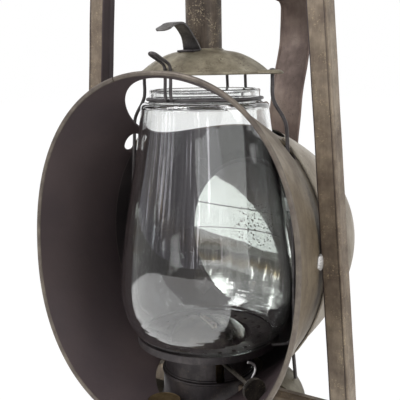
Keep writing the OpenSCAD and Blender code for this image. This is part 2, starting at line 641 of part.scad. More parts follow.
clip_leg_y = 41.5;
loop_half_w = 2.1;
loop_y = 56;
loop_rise = 24;
rear_leg_x = 7.6;
module neck_clip() color("#4c4640") {
    translate([0, 0, clip_z]) rotate_extrude() translate([clip_r, 0]) circle(r = clip_wire_r, $fn = 24);
    for (x = [-loop_half_w, loop_half_w]) wire([for (p = [
        [-clip_r, clip_z], [0.9 - clip_leg_y, clip_z + 0.5], [-clip_leg_y, clip_z + 2],
        [-clip_leg_y, bell_z + 3], [-clip_leg_y - 1.1, bell_z + 5.6], [-clip_leg_y - 3.5, bell_z + 7.2],
        [-clip_leg_y - 8.5, bell_z + 9.4], [-loop_y, bell_z + 12]]) [x, p[0], p[1]]],
        clip_wire_r, [1, 0, 0], 10);
    wire([for (a = [-90:30:90]) [loop_half_w * sin(a), -loop_y - loop_half_w * cos(a) * cos(loop_rise),
        bell_z + 12 + loop_half_w * cos(a) * sin(loop_rise)]],
        clip_wire_r, [0, -sin(loop_rise), -cos(loop_rise)], 10);
    for (s = [-1, 1]) wire([for (p = [
        [clip_r * 0.98, clip_z], [clip_leg_y - 0.9, clip_z + 0.5], [clip_leg_y, clip_z + 2],
        [clip_leg_y, bell_z + 4.4], [clip_leg_y + 1, bell_z + 5.8], [clip_leg_y + 3.6, bell_z + 6.2]])
        [s * rear_leg_x, p[0], p[1]]], clip_wire_r, [1, 0, 0], 10);
}

thumb_line = [[0, 0.3], [-2.2, 3.3], [-4.8, 6.7], [-8.1, 10.1], [-11.6, 12.8], [-15.6, 14.4],
    [-20.1, 14.4], [-25.1, 13.2], [-30.1, 11.2]];
module thumb_catch() color("#453c35") translate([0, thumb_pivot_y, thumb_pivot_z]) {
    strip(thumb_line, thumb_t, thumb_w);
    translate([0, -30.1, 11.2]) rotate([21.8, 0, 0]) translate([0, 0, -thumb_t / 2 - 0.1])
        cylinder(r = thumb_w / 2 + 0.4, h = thumb_t + 0.2);
}

bail_corner_r = 45;
bail_turn_r = 3;
module bail() color("#4a423a") translate([0, tube_y, bail_z]) {
    straight = bail_reach - bail_corner_r;
    translate([0, bail_reach, 0])
        along_x(-(bail_half_w - bail_corner_r), bail_half_w - bail_corner_r, bail_wire_r);
    for (s = [0, 1]) mirror([s, 0, 0]) {
        translate([bail_half_w - bail_corner_r, straight, 0]) rotate_extrude(angle = 90)
            translate([bail_corner_r, 0]) circle(r = bail_wire_r, $fn = 32);
        translate([bail_half_w, bail_turn_r, 0]) rotate([-90, 0, 0])
            cylinder(r = bail_wire_r, h = straight - bail_turn_r);
        translate([bail_half_w - bail_turn_r, bail_turn_r, 0]) rotate([0, 0, -90])
            rotate_extrude(angle = 90) translate([bail_turn_r, 0]) circle(r = bail_wire_r, $fn = 32);
        along_x(tube_x(bail_z) + tube_w / 2 + 0.8, bail_half_w - bail_turn_r, bail_wire_r);
    }
}

// Wick drive

module wick_shaft() color("#7d6c46") in_burner_frame() translate([0, shaft_off, shaft_z])
    along_x(-18.5, knob_reach - knob_t - 0.1, shaft_r);

module spur_wheels() color("#7d6c46") in_burner_frame() translate([0, shaft_off, shaft_z])
    for (x = [-8, 0, 8]) difference() {
        along_x(x - 1, x + 1, wheel_r);
        along_x(x - 2, x + 2, shaft_r + 0.02);
        for (a = [0:30:330]) rotate([a, 0, 0]) translate([x, 0, wheel_r])
            rotate([45, 0, 0]) cube([3, 0.9, 0.9], center = true);
    }

module wick_knob() color("#8d7a52") in_burner_frame()
    translate([knob_reach - knob_t, shaft_off, shaft_z]) difference() {
        along_x(0, knob_t, knob_r);
        translate([1.4, 0, 0]) along_x(0, knob_t, knob_r - 1.6);
        for (a = [0:15:345]) rotate([a, 0, 0]) translate([-1, 0, knob_r + 0.4])
            along_x(0, knob_t + 2, 0.9);
    }

module wick() color("#d8d0bc") in_burner_frame() translate([0, 0, (wick_top + wick_foot) / 2])
    cube([wick_w, wick_t, wick_top - wick_foot], center = true);

// Filler cap

module filler_gasket() color("#2e2a28") translate([filler_x, filler_y, neck_top + cap_gap])
    cylinder(r = neck_r, h = gasket_t);

module filler_cap() color("#77683f") translate([filler_x, filler_y, neck_top - cap_skirt]) difference() {
    cylinder(r = cap_r, h = cap_h);
    translate([0, 0, -1]) cylinder(r = neck_r + 0.5, h = 1 + cap_skirt + 2 * cap_gap + gasket_t);
    for (a = [0:15:345]) rotate([0, 0, a]) translate([cap_r + 0.5, 0, 1])
        cylinder(r = 1, h = cap_h - 3, $fn = 16);
    translate([0, 0, cap_h - 0.8]) cylinder(r = cap_r - 2, h = 2);
}

tank_bottom();
tank_shell();
burner_ring();
filler_neck();
lower_collar();
bowl_saddle();
left_air_tube();
right_air_tube();
top_hub();
top_cap();
chimney();
bail_ears();
hood_band();
hood_rim_wire();
hood_seam();
reflector_bowl();
reflector_mirror();
mirror_ring();
mirror_lugs();
bowl_braces();
hood_joints();
rear_handle();
handle_rivets();
burner_body();
burner_gallery();
wick_tube();
burner_cone();
shaft_eye();
bell();
bell_ears();
left_guard_wire();
right_guard_wire();
back_guard_wire();
globe_plate();
globe();
catch_foot();
neck_clip();
thumb_catch();
bail();
wick_shaft();
spur_wheels();
wick_knob();
wick();
filler_gasket();
filler_cap();
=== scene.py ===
import math

import bpy
from mathutils import Matrix, Vector


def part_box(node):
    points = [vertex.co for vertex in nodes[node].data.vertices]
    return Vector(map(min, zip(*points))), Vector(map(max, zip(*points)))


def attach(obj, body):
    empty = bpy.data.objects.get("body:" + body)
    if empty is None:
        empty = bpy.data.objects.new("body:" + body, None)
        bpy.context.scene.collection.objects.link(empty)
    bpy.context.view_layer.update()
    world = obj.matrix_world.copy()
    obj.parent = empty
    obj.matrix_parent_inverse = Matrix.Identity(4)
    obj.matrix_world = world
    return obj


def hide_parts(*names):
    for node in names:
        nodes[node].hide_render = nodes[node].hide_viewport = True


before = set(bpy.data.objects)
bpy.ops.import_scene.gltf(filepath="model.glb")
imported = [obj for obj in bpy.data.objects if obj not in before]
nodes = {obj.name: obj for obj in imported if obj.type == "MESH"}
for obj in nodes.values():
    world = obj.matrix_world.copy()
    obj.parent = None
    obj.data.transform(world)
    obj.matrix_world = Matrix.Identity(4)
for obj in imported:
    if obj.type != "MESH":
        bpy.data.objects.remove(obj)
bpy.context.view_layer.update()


# Stand, backdrop and light. The lantern stands on a pale table in a white room, between two soft
# boxes. What its mirror and its glass show is darker: the table ends a little way off, and grey
# walls with bright posts and one bright window stand behind the camera.
VIEW_TURN = math.radians(34.0)
VIEW_TILT = 0.15
VIEW_ROLL = 0.017
VIEW_DISTANCE = 0.480
VIEW_HEIGHT = 0.28242
VIEW_SIDE = -0.00415
VIEW_LENS = 63.59
VIEW_SHIFT = -0.0615
WHITE = (1, 1, 1)
DARK_GREY = (0.16, 0.16, 0.165)
TABLE_RADIUS = 6
TABLE_WAY = (0.675, -0.7375, 0)
TABLE_WAVER = 0.30
TABLE_MIDDLE = (-0.22, 0.92, 0)
TABLE_GLOW = 1.05
TABLE_SEEN = 0.93
TABLE_MIRRORED = (1.45, 1.45, 1.45)
WALLS_MIRRORED = (1.2, 1.2, 1.2)
WALLS_ON_GLASS = (0.45, 0.45, 0.50)
WINDOW_WAY = (-0.053, -0.925, 0.385)
ROOM_LIGHT = 0.50
SOFT_BOX_WIDTH = 0.5
SOFT_BOX_HEIGHT = 0.7


def add_viewpoint():
    right = Vector((math.cos(VIEW_TURN), math.sin(VIEW_TURN), 0))
    ahead = Vector((-math.sin(VIEW_TURN) * math.cos(VIEW_TILT),
                    math.cos(VIEW_TURN) * math.cos(VIEW_TILT), -math.sin(VIEW_TILT)))
    up = right.cross(ahead)
    place = right * VIEW_SIDE - Vector((ahead.x, ahead.y, 0)).normalized() * VIEW_DISTANCE
    place.z = VIEW_HEIGHT
    rolled_right = right * math.cos(VIEW_ROLL) - up * math.sin(VIEW_ROLL)
    rolled_up = right * math.sin(VIEW_ROLL) + up * math.cos(VIEW_ROLL)
    turn = Matrix((rolled_right, rolled_up, -ahead)).transposed().to_4x4()
    bpy.ops.object.camera_add()
    viewpoint = bpy.context.object
    viewpoint.name = "viewpoint"
    viewpoint.matrix_world = Matrix.Translation(place) @ turn
    viewpoint.data.lens = VIEW_LENS
    viewpoint.data.sensor_width = 36
    viewpoint.data.shift_y = VIEW_SHIFT
    viewpoint.data.clip_start = 0.01
    viewpoint.data.clip_end = 20
    bpy.context.scene.camera = viewpoint


def fed(tree, node, *terms, **values):
    """Feeds a shader node: each input, by order or by name, gets a socket or a fixed value."""
    named = {key.replace("_", " "): value for key, value in values.items()}
    for key, value in (*enumerate(terms), *named.items()):
        if isinstance(value, bpy.types.NodeSocket):
            tree.links.new(value, node.inputs[key])
        else:
            node.inputs[key].default_value = value


def added(tree, kind, *terms, operation=None, **values):
    """The outputs of a new shader node that is fed with these terms and values."""
    node = tree.nodes.new("ShaderNode" + kind)
    if operation:
        node.operation = operation
    fed(tree, node, *terms, **values)
    return node.outputs


def toned(tree, factor, stops):
    """Colours or greys spread along a factor, as (place, colour) stops."""
    node = tree.nodes.new("ShaderNodeValToRGB")
    while len(node.color_ramp.elements) < len(stops):
        node.color_ramp.elements.new(0.5)
    for element, (place, colour) in zip(node.color_ramp.elements, stops):
        element.position = place
        element.color = (*colour, 1) if isinstance(colour, tuple) else (colour, colour, colour, 1)
    tree.links.new(factor, node.inputs["Fac"])
    return node.outputs["Color"]


def blended(tree, kind, factor, first, second):
    """Two colours or sockets mixed, added or multiplied by a factor."""
    node = tree.nodes.new("ShaderNodeMix")
    node.data_type = "RGBA"
    node.blend_type = kind
    for index, value in ((0, factor), (6, first), (7, second)):
        if isinstance(value, bpy.types.NodeSocket):
            tree.links.new(value, node.inputs[index])
        else:
            node.inputs[index].default_value = (*value, 1) if isinstance(value, tuple) else value
    return node.outputs[2]


def new_material(name):
    """A material, its nodes, its shader, and the place of each point on the piece."""
    material = bpy.data.materials.new(name)
    material.use_nodes = True
    tree = material.node_tree
    return material, tree, tree.nodes["Principled BSDF"], added(tree, "TexCoord")["Object"]


def add_table():
    bpy.ops.mesh.primitive_circle_add(vertices=96, radius=TABLE_RADIUS, fill_type="NGON")
    table = bpy.context.object
    table.name = "table"
    material, tree, shader, spot = new_material("pale_table")
    fed(tree, shader, Base_Color=(0.86, 0.86, 0.86, 1), Roughness=0.9)
    waver = added(tree, "TexNoise", Vector=spot, Scale=3.2, Detail=3, Roughness=0.5)["Fac"]
    reach = added(tree, "VectorMath", spot, TABLE_WAY, operation="DOT_PRODUCT")["Value"]
    past = added(tree, "Math", waver, TABLE_WAVER, reach, operation="MULTIPLY_ADD")[0]
    floor = toned(tree, past, [(0.650, WHITE), (0.665, (0.15, 0.14, 0.135)), (1.0, (0.13, 0.105, 0.08))])
    middle = added(tree, "Mapping", spot, Location=TABLE_MIDDLE)[0]
    apart = added(tree, "VectorMath", middle, operation="LENGTH")["Value"]
    around = added(tree, "MapRange", apart, From_Min=1.17, From_Max=1.12)[0]
    near_glass = blended(tree, "MIX", around, DARK_GREY, WHITE)
    floor = blended(tree, "MIX", around, (0.16, 0.15, 0.14), floor)
    path = added(tree, "LightPath")
    mirrored = blended(tree, "MIX", path["Is Transmission Ray"], near_glass, floor)
    mirrored = blended(tree, "MULTIPLY", 1.0, mirrored, TABLE_MIRRORED)
    behind = added(tree, "SeparateXYZ", spot)["Y"]
    past_lamp = added(tree, "MapRange", behind, From_Min=0.5, From_Max=0.7)[0]
    mirrored = blended(tree, "MIX", past_lamp, mirrored, WHITE)
    colour = blended(tree, "MIX", path["Is Camera Ray"], mirrored, WHITE)
    glow = added(tree, "Emission", Color=colour, Strength=TABLE_GLOW)[0]
    seen = added(tree, "Math", path["Is Camera Ray"], path["Is Transmission Ray"], operation="MAXIMUM")[0]
    seen = added(tree, "Math", seen, path["Is Glossy Ray"], operation="MAXIMUM")[0]
    share = added(tree, "Math", seen, TABLE_SEEN, operation="MULTIPLY")[0]
    fed(tree, tree.nodes["Material Output"], added(tree, "MixShader", share, shader.outputs[0], glow)[0])
    table.data.materials.append(material)


def add_room():
    world = bpy.data.worlds.new("white_room")
    bpy.context.scene.world = world
    world.use_nodes = True
    tree = world.node_tree
    tree.nodes.clear()
    way = added(tree, "TexCoord")["Generated"]
    parts = added(tree, "SeparateXYZ", way)
    tall = added(tree, "Mapping", way, Scale=(1, 1, 0.12))[0]
    clutter = added(tree, "TexNoise", Vector=tall, Scale=9, Detail=3, Roughness=0.6)["Fac"]
    shift = added(tree, "MapRange", clutter, To_Min=-0.07, To_Max=0.07)[0]
    walls = toned(tree, added(tree, "Math", parts["Z"], shift)[0], [
        (0.0, (0.14, 0.13, 0.125)), (0.02, (0.15, 0.13, 0.11)), (0.06, (0.22, 0.17, 0.11)),
        (0.12, (0.42, 0.40, 0.40)), (0.42, (0.40, 0.39, 0.40)), (0.66, DARK_GREY)])
    short = added(tree, "Mapping", way, Scale=(1, 1, 0.22))[0]
    stand = added(tree, "TexNoise", Vector=short, Scale=19, Detail=2, Roughness=0.5)["Fac"]
    posts = toned(tree, stand, [(0.36, (0.62, 0.62, 0.63)), (0.56, (1.06, 1.05, 1.05)),
                                (0.650, 1.25), (0.675, 5.5)])
    path = added(tree, "LightPath")
    walls = blended(tree, "MIX", path["Is Transmission Ray"], WALLS_ON_GLASS, walls)
    walls = blended(tree, "MULTIPLY", 1.0, walls, posts)
    walls = blended(tree, "MULTIPLY", 1.0, walls, WALLS_MIRRORED)
    aim = added(tree, "VectorMath", way, WINDOW_WAY, operation="SUBTRACT")[0]
    wide = added(tree, "Mapping", aim, Scale=(1, 0.5, 0.72))[0]
    off = added(tree, "VectorMath", wide, operation="LENGTH")["Value"]
    window = toned(tree, off, [(0.03, 9.0), (0.075, 2.6), (0.14, 0.0)])
    behind = added(tree, "MapRange", parts["Y"], From_Min=-0.1, From_Max=0.1)[0]
    room = blended(tree, "MIX", behind, blended(tree, "ADD", 1.0, walls, window), WHITE)
    mirrored = added(tree, "Background", Color=room)[0]
    lit = added(tree, "Background", Color=(0.95, 0.97, 1.0, 1), Strength=ROOM_LIGHT)[0]
    seen = added(tree, "Background", Color=(*WHITE, 1))[0]
    clear = added(tree, "Math", path["Is Glossy Ray"], path["Is Transmission Ray"], operation="MAXIMUM")[0]
    shiny = added(tree, "MixShader", clear, lit, mirrored)[0]
    added(tree, "OutputWorld", added(tree, "MixShader", path["Is Camera Ray"], shiny, seen)[0])


def add_soft_box(name, place, aim, power):
    bpy.ops.object.light_add(type="AREA", location=place)
    box = bpy.context.object
    box.name = name
    box.data.shape = "RECTANGLE"
    box.data.size = SOFT_BOX_WIDTH
    box.data.size_y = SOFT_BOX_HEIGHT
    box.data.energy = power
    box.rotation_euler = (Vector(aim) - Vector(place)).to_track_quat("-Z", "Y").to_euler()


add_viewpoint()
add_table()
add_room()
add_soft_box("soft_box_left", (-0.45, -0.75, 1.15), (0, 0, 0.18), 10.0)
add_soft_box("soft_box_right", (1.0, -0.15, 0.65), (0, 0, 0.2), 4.8)
bpy.context.scene.view_settings.view_transform = "Standard"


# Tank: two pressings of tinned sheet, rolled together at the foot and gone dark olive with age.
# A bead is rolled round the wall, and the filler hole is punched through the front of the dome.
TANK_RADIUS = 0.068
TANK_WALL_TOP = 0.034
TANK_SHOULDER = 0.012
TANK_SHEET = 0.0008
TANK_BEAD = 0.0255
DOME_EDGE = math.radians(20)
BURNER_HOLE = 0.0183
FILLER_PLACE = (-0.008, -0.0435)
FILLER_HOLE = 0.0086
SPECK = 820
STREAK = 420
FACES_OUT = (bpy.ops.mesh.normals_make_consistent, {"inside": False})


def start_piece():
    """Leaves edit mode and deselects everything."""
    if bpy.context.object and bpy.context.object.mode == "EDIT":
        bpy.ops.object.mode_set(mode="OBJECT")
    bpy.ops.object.select_all(action="DESELECT")


def started(primitive, **settings):
    """A primitive of this size and place, to be shaped."""
    start_piece()
    primitive(**settings)
    return bpy.context.object


def chosen_only(piece):
    start_piece()
    piece.select_set(True)
    bpy.context.view_layer.objects.active = piece


def edited(*steps):
    """The piece at hand with each step, an operator and its settings, done on the whole of it."""
    bpy.ops.object.mode_set(mode="EDIT")
    for operator, settings in steps:
        bpy.ops.mesh.select_all(action="SELECT")
        operator(**settings)
    bpy.ops.object.mode_set(mode="OBJECT")
    return bpy.context.object


def merged(near):
    """The step that merges points as near as this."""
    return bpy.ops.mesh.remove_doubles, {"threshold": near}


def modified(piece, kind, **settings):
    """Adds a modifier with these settings and applies it."""
    change = piece.modifiers.new(kind.lower(), kind)
    for setting, value in settings.items():
        setattr(change, setting, value)
    bpy.ops.object.modifier_apply(modifier=change.name)


def coated(piece, material):
    piece.data.materials.clear()
    piece.data.materials.append(material)


def finished(piece, name, body, material, replaced, angle=35):
    """Names a piece, smooths it, gives it its finish and tells what it rides on and stands for."""
    chosen_only(piece)
    bpy.ops.object.transform_apply()
    bpy.ops.object.shade_smooth_by_angle(angle=math.radians(angle))
    piece.name = name
    piece.data.name = name
    coated(piece, material)
    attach(piece, body)
    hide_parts(replaced)
    return piece


def spun(outline, turns=144):
    """A closed outline of (radius, height) points, turned once round the upright axis."""
    started(bpy.ops.mesh.primitive_plane_add, size=0.001)
    bpy.ops.object.mode_set(mode="EDIT")
    bpy.ops.mesh.merge(type="CENTER")
    bpy.ops.transform.translate(value=(outline[0][0], 0, outline[0][1]))
    for (r0, z0), (r1, z1) in zip(outline, outline[1:] + outline[:1]):
        bpy.ops.mesh.extrude_region_move(TRANSFORM_OT_translate={"value": (r1 - r0, 0, z1 - z0)})
    bpy.ops.object.mode_set(mode="OBJECT")
    turn = {"steps": turns, "angle": math.tau, "center": (0, 0, 0), "axis": (0, 0, 1)}
    return edited(merged(1e-6), (bpy.ops.mesh.spin, turn), merged(2e-6), FACES_OUT)


def arc(centre, radius, first, last, steps):
    """Points from angle first to last, in radians, round a centre."""
    turn = [first + (last - first) * i / steps for i in range(steps + 1)]
    return [(centre[0] + radius * math.cos(a), centre[1] + radius * math.sin(a)) for a in turn]


def curved(p0, p1, p2, p3, steps):
    """Points on a curve from p0 to p3, pulled towards p1 and p2."""
    points = []
    for i in range(steps + 1):
        t = i / steps
        weights = ((1 - t) ** 3, 3 * t * (1 - t) ** 2, 3 * t * t * (1 - t), t ** 3)
        points.append(tuple(sum(w * p[k] for w, p in zip(weights, (p0, p1, p2, p3))) for k in (0, 1)))
    return points


def cut_away(piece, cutter):
    """Takes the cutter's shape out of the piece, and removes the cutter."""
    chosen_only(piece)
    modified(piece, "BOOLEAN", operation="DIFFERENCE", solver="EXACT", object=cutter)
    bpy.data.objects.remove(cutter)


def round_cutter(x, y, low, high, radius, sides=96):
    return started(bpy.ops.mesh.primitive_cylinder_add, vertices=sides, radius=radius, depth=high - low,
                   location=(x, y, (low + high) / 2))


def aged_tin(name, deep, mid, pale, speck, metal=0.3, rough=(0.42, 0.68), patch=38, streak=0.35,
             drawn=(1, 1, 0.18), specks=(0.56, 0.68)):
    """Tinned sheet with mottled patina: broad patches, streaks down the sheet, and fine rust specks."""
    material, tree, shader, spot = new_material(name)
    broad = added(tree, "TexNoise", Vector=spot, Scale=patch, Detail=6, Roughness=0.62)["Fac"]
    colour = toned(tree, broad, [(0.30, deep), (0.5, mid), (0.72, pale)])
    pulled = added(tree, "Mapping", spot, Scale=drawn)[0]
    lines = added(tree, "TexNoise", Vector=pulled, Scale=STREAK, Detail=4, Roughness=0.6)["Fac"]
    colour = blended(tree, "MULTIPLY", streak, colour,
                     toned(tree, lines, [(0.35, (0.42, 0.40, 0.38)), (0.6, WHITE)]))
    fine = added(tree, "TexNoise", Vector=spot, Scale=SPECK, Detail=4, Roughness=0.7)["Fac"]
    dust = toned(tree, fine, [(specks[0], 0), (specks[1], 1)])
    soft = added(tree, "TexNoise", Vector=spot, Scale=110, Detail=3)["Fac"]
    mask = blended(tree, "MULTIPLY", 1.0, dust, toned(tree, soft, [(0.45, 0), (0.62, 1)]))
    colour = blended(tree, "MIX", mask, colour, speck)
    worn = added(tree, "MapRange", broad, From_Min=0.3, From_Max=0.7, To_Min=rough[1], To_Max=rough[0])[0]
    grain = added(tree, "Bump", Height=fine, Strength=0.25, Distance=0.0002)[0]
    dents = added(tree, "Bump", Height=broad, Normal=grain, Strength=0.4, Distance=0.0012)[0]
    fed(tree, shader, Base_Color=colour, Metallic=metal, Roughness=worn, Normal=dents)
    return material


tank_tin = aged_tin("tank_tin", (0.050, 0.040, 0.028), (0.105, 0.088, 0.060), (0.200, 0.170, 0.112),
                    (0.035, 0.022, 0.014))
dome_edge_r = TANK_RADIUS - TANK_SHOULDER + TANK_SHOULDER * math.sin(DOME_EDGE)
dome_radius = dome_edge_r / math.sin(DOME_EDGE)
dome_centre = TANK_WALL_TOP + TANK_SHOULDER * math.cos(DOME_EDGE) - dome_radius * math.cos(DOME_EDGE)


def tank_outline(inset):
    side = TANK_RADIUS - inset
    bead = [(side, 0.001), (side, TANK_BEAD - 0.002)]
    bead += [(side + 0.0009 * math.sin(a), TANK_BEAD - 0.0018 * math.cos(a))
             for a in [math.pi * i / 6 for i in range(7)]]
    shoulder = arc((TANK_RADIUS - TANK_SHOULDER, TANK_WALL_TOP), TANK_SHOULDER - inset, 0,
                   math.pi / 2 - DOME_EDGE, 14)
    dome = arc((0, dome_centre), dome_radius - inset, math.pi / 2 - DOME_EDGE,
               math.acos(BURNER_HOLE / (dome_radius - inset)), 14)
    return bead + shoulder + dome[1:]


tank = spun(tank_outline(0) + tank_outline(TANK_SHEET)[::-1], 160)
cut_away(tank, round_cutter(*FILLER_PLACE, 0.03, 0.08, FILLER_HOLE))
finished(tank, "tank", "frame", tank_tin, "tank_shell")

foot_r = TANK_RADIUS + 0.0001
tank_foot = spun([(0.0, 0.0), (0.048, 0.0), (0.0495, 0.0006), (0.053, 0.0006), (0.0545, 0.0)]
                 + arc((foot_r + 0.0006, 0.001), 0.001, -math.pi / 2, 0, 5)
                 + arc((foot_r + 0.0008, 0.0042), 0.0008, 0, math.pi, 8)
                 + [(foot_r, 0.001), (0.0, 0.001)], 160)
finished(tank_foot, "tank_foot", "frame", tank_tin, "tank_bottom")
coated(nodes["filler_neck"], tank_tin)


# Filler cap: a small brass pressing with a milled edge, gone dull. It screws down over the neck on
# a black sealing washer.
CAP_RADIUS = 0.011
CAP_MILLS = 40
aged_brass = aged_tin("aged_brass", (0.070, 0.045, 0.020), (0.150, 0.105, 0.050), (0.260, 0.190, 0.095),
                      (0.030, 0.022, 0.014), metal=0.6, rough=(0.36, 0.62), patch=90)
seal = aged_tin("seal", (0.018, 0.015, 0.013), (0.028, 0.024, 0.021), (0.042, 0.036, 0.031),
                (0.010, 0.008, 0.007), metal=0.0)


def faces_chosen(piece, wanted):
    """Selects the faces that are wanted and goes on in edit mode."""
    bpy.ops.object.mode_set(mode="EDIT")
    bpy.ops.mesh.select_all(action="DESELECT")
    bpy.ops.object.mode_set(mode="OBJECT")
    for face in piece.data.polygons:
        face.select = wanted(face)
    bpy.ops.object.mode_set(mode="EDIT")


def milled(radius, low, high, mills, depth, steps, sink):
    """A short drum whose edge is milled: every other side face is pushed in and the top is sunk."""
    drum = round_cutter(0, 0, low, high, radius, mills * 2)
    bpy.ops.object.transform_apply(location=True)
    side = sorted((f for f in drum.data.polygons if abs(f.normal.z) < 0.5),
                  key=lambda f: math.atan2(f.center.y, f.center.x))
    pushed = {f.index for f in side[::2]}
    faces_chosen(drum, lambda f: f.index in pushed)
    bpy.ops.mesh.inset(thickness=depth * 0.6, use_individual=True, depth=-depth)
    faces_chosen(drum, lambda f: f.normal.z > 0.9 and f.center.z > high - 1e-5 and len(f.vertices) > 8)
    for inset, push in (*steps, (sink * 0.4, -sink), (radius * 0.35, 0)):
        bpy.ops.mesh.inset(thickness=inset, depth=push)
    bpy.ops.object.mode_set(mode="OBJECT")
    modified(drum, "BEVEL", width=depth * 0.35, segments=2, limit_method="ANGLE")
    return drum


def heights(node):
    """The heights of a CAD node's foot and top."""
    return [corner.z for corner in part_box(node)]


cap = milled(CAP_RADIUS, *heights("filler_cap"), CAP_MILLS, 0.0004,
             [(0.0008, 0.0), (0.0006, -0.0003)], 0.0007)
cap.location = (*FILLER_PLACE, 0)
finished(cap, "cap", "cap", aged_brass, "filler_cap")
coated(nodes["filler_gasket"], seal)


# Burner: brass drum, gallery, wick tube and perforated cone, pressed and soldered, gone dull brown
# with soot. It sits in the ring on the dome, turned so that its shaft points to the right front.
BURNER_TURN = math.radians(-32.4)
burner_turned = Matrix.Rotation(BURNER_TURN, 4, "Z")
dark_brass = aged_tin("dark_brass", (0.016, 0.014, 0.012), (0.038, 0.032, 0.026), (0.095, 0.082, 0.062),
                      (0.200, 0.170, 0.110), metal=0.5, rough=(0.34, 0.55), patch=120, streak=0.1)


def eased(node, name, body, material, width=0.00012, segments=2, angle=40):
    """A copy of a CAD solid, its triangles merged to whole faces and its edges rounded off."""
    piece = nodes[node].copy()
    piece.data = nodes[node].data.copy()
    bpy.context.collection.objects.link(piece)
    chosen_only(piece)
    edited(merged(2e-6), (bpy.ops.mesh.dissolve_limited, {"angle_limit": math.radians(1)}))
    modified(piece, "BEVEL", width=width, segments=segments, limit_method="ANGLE",
             angle_limit=math.radians(45))
    finished(piece, name, body, material, node, angle)


for part, finish in (("ring", aged_brass), ("body", aged_brass),
                     ("gallery", dark_brass), ("cone", dark_brass)):
    eased("burner_" + part, "lamp_" + part, "frame", finish)
eased("wick_tube", "lamp_wick_tube", "frame", aged_brass)


# Wick: a flat tape of woven cotton that hangs down into the oil. Its top edge is frayed and
# charred, and the toothed wheels under it wind it up and down in its tube.
WICK_WIDTH = 0.0254
WICK_THICK = 0.0028
CHAR_FALL = 260
CHAR_START = -27.6


def woven_cotton():
    material, tree, shader, spot = new_material("cotton_wick")
    turned = added(tree, "Mapping", spot, Rotation=(0, 0, -BURNER_TURN))[0]
    warp = added(tree, "TexWave", Vector=turned, Scale=480, Distortion=0.4)["Fac"]
    weft = added(tree, "TexWave", Vector=turned, Scale=420, Distortion=0.4)["Fac"]
    weft.node.bands_direction = "Z"
    threads = added(tree, "Math", warp, weft, operation="MULTIPLY")[0]
    height = added(tree, "SeparateXYZ", turned)["Z"]
    height = added(tree, "Math", height, CHAR_FALL, CHAR_START, operation="MULTIPLY_ADD")[0]
    blur = added(tree, "TexNoise", Vector=spot, Scale=300, Detail=3)["Fac"]
    burnt = toned(tree, added(tree, "Math", height, blur)[0], [
        (0.35, (0.46, 0.40, 0.29)), (0.6, (0.16, 0.10, 0.05)), (0.9, (0.012, 0.010, 0.009))])
    weave = toned(tree, threads, [(0.0, (0.55, 0.53, 0.50)), (0.5, WHITE)])
    bump = added(tree, "Bump", Height=threads, Strength=0.7, Distance=0.0003)[0]
    fed(tree, shader, Base_Color=blended(tree, "MULTIPLY", 0.8, burnt, weave), Roughness=0.95,
        Sheen_Weight=0.3, Normal=bump)
    return material


wick_low, wick_high = heights("wick")
started(bpy.ops.mesh.primitive_cube_add, size=1, location=(0, 0, (wick_low + wick_high) / 2),
        scale=(WICK_WIDTH, WICK_THICK, wick_high - wick_low))
bpy.ops.object.transform_apply()
wick = edited((bpy.ops.mesh.subdivide, {"number_cuts": 24}))
for v in wick.data.vertices:
    edge = max(0.0, abs(v.co.x) - WICK_WIDTH / 2 + WICK_THICK / 2) / (WICK_THICK / 2)
    v.co.y *= math.sqrt(max(0.0, 1 - 0.85 * edge * edge)) * (0.93 + 0.05 * math.sin(v.co.z * 900))
    fray = 0.0004 * math.sin(v.co.x * 2900) + 0.0003 * math.sin(v.co.x * 7100 + 1)
    if v.co.z > wick_high - 1e-5:
        v.co.z -= 0.0004 - fray
wick.rotation_euler = (0, 0, BURNER_TURN)
finished(wick, "wick_tape", "wick", woven_cotton(), "wick", 60)


# Wick drive: a steel shaft with three toothed wheels under the wick and a milled brass knob, held
# at its outer end by an eye of tinned wire whose tail is hooked over.
SHAFT_OFFSET = -0.00545
SHAFT_HEIGHT = 0.0887
KNOB_REACH = 0.0806
KNOB_RADIUS = 0.0072
KNOB_THICK = 0.0032
EYE_PLACE = 0.0746
EYE_RADIUS = 0.0026
EYE_WIRE = 0.0008
bright_wire = aged_tin("bright_wire", (0.30, 0.29, 0.28), (0.48, 0.47, 0.46), (0.62, 0.61, 0.60),
                       (0.12, 0.10, 0.09), metal=0.85, rough=(0.22, 0.38), patch=160, streak=0.2)
eased("wick_shaft", "shaft", "wick_drive", dark_brass)
eased("spur_wheels", "toothed_wheels", "wick_drive", aged_brass, 0.00005, 1)
knob = milled(KNOB_RADIUS, 0, KNOB_THICK, 30, 0.0005, [(0.0006, 0.0), (0.0008, -0.0004)], 0.0012)
knob.matrix_world = (burner_turned @ Matrix.Translation((0, SHAFT_OFFSET, SHAFT_HEIGHT))
                     @ Matrix.Rotation(math.pi / 2, 4, "Y")
                     @ Matrix.Translation((0, 0, KNOB_REACH - KNOB_THICK)))
finished(knob, "knob", "wick_drive", dark_brass, "wick_knob")


def bent_wire(points, radius, closed=False, sides=4, steps=5):
    """A round wire whose middle passes smoothly through the points."""
    line = started(bpy.ops.curve.primitive_bezier_curve_add)
    line.data.splines.clear()
    run = line.data.splines.new("BEZIER")
    run.bezier_points.add(len(points) - 1)
    for knot, place in zip(run.bezier_points, points):
        knot.co = place
        knot.handle_left_type = knot.handle_right_type = "AUTO"
    run.use_cyclic_u = closed
    line.data.resolution_u = steps
    line.data.bevel_depth = radius
    line.data.bevel_resolution = sides
    line.data.use_fill_caps = not closed
    bpy.ops.object.convert(target="MESH")
    return edited(merged(1e-6), FACES_OUT)


def joined(pieces):
    start_piece()
    for piece in pieces:
        piece.select_set(True)
    bpy.context.view_layer.objects.active = pieces[0]
    bpy.ops.object.join()
    return bpy.context.object


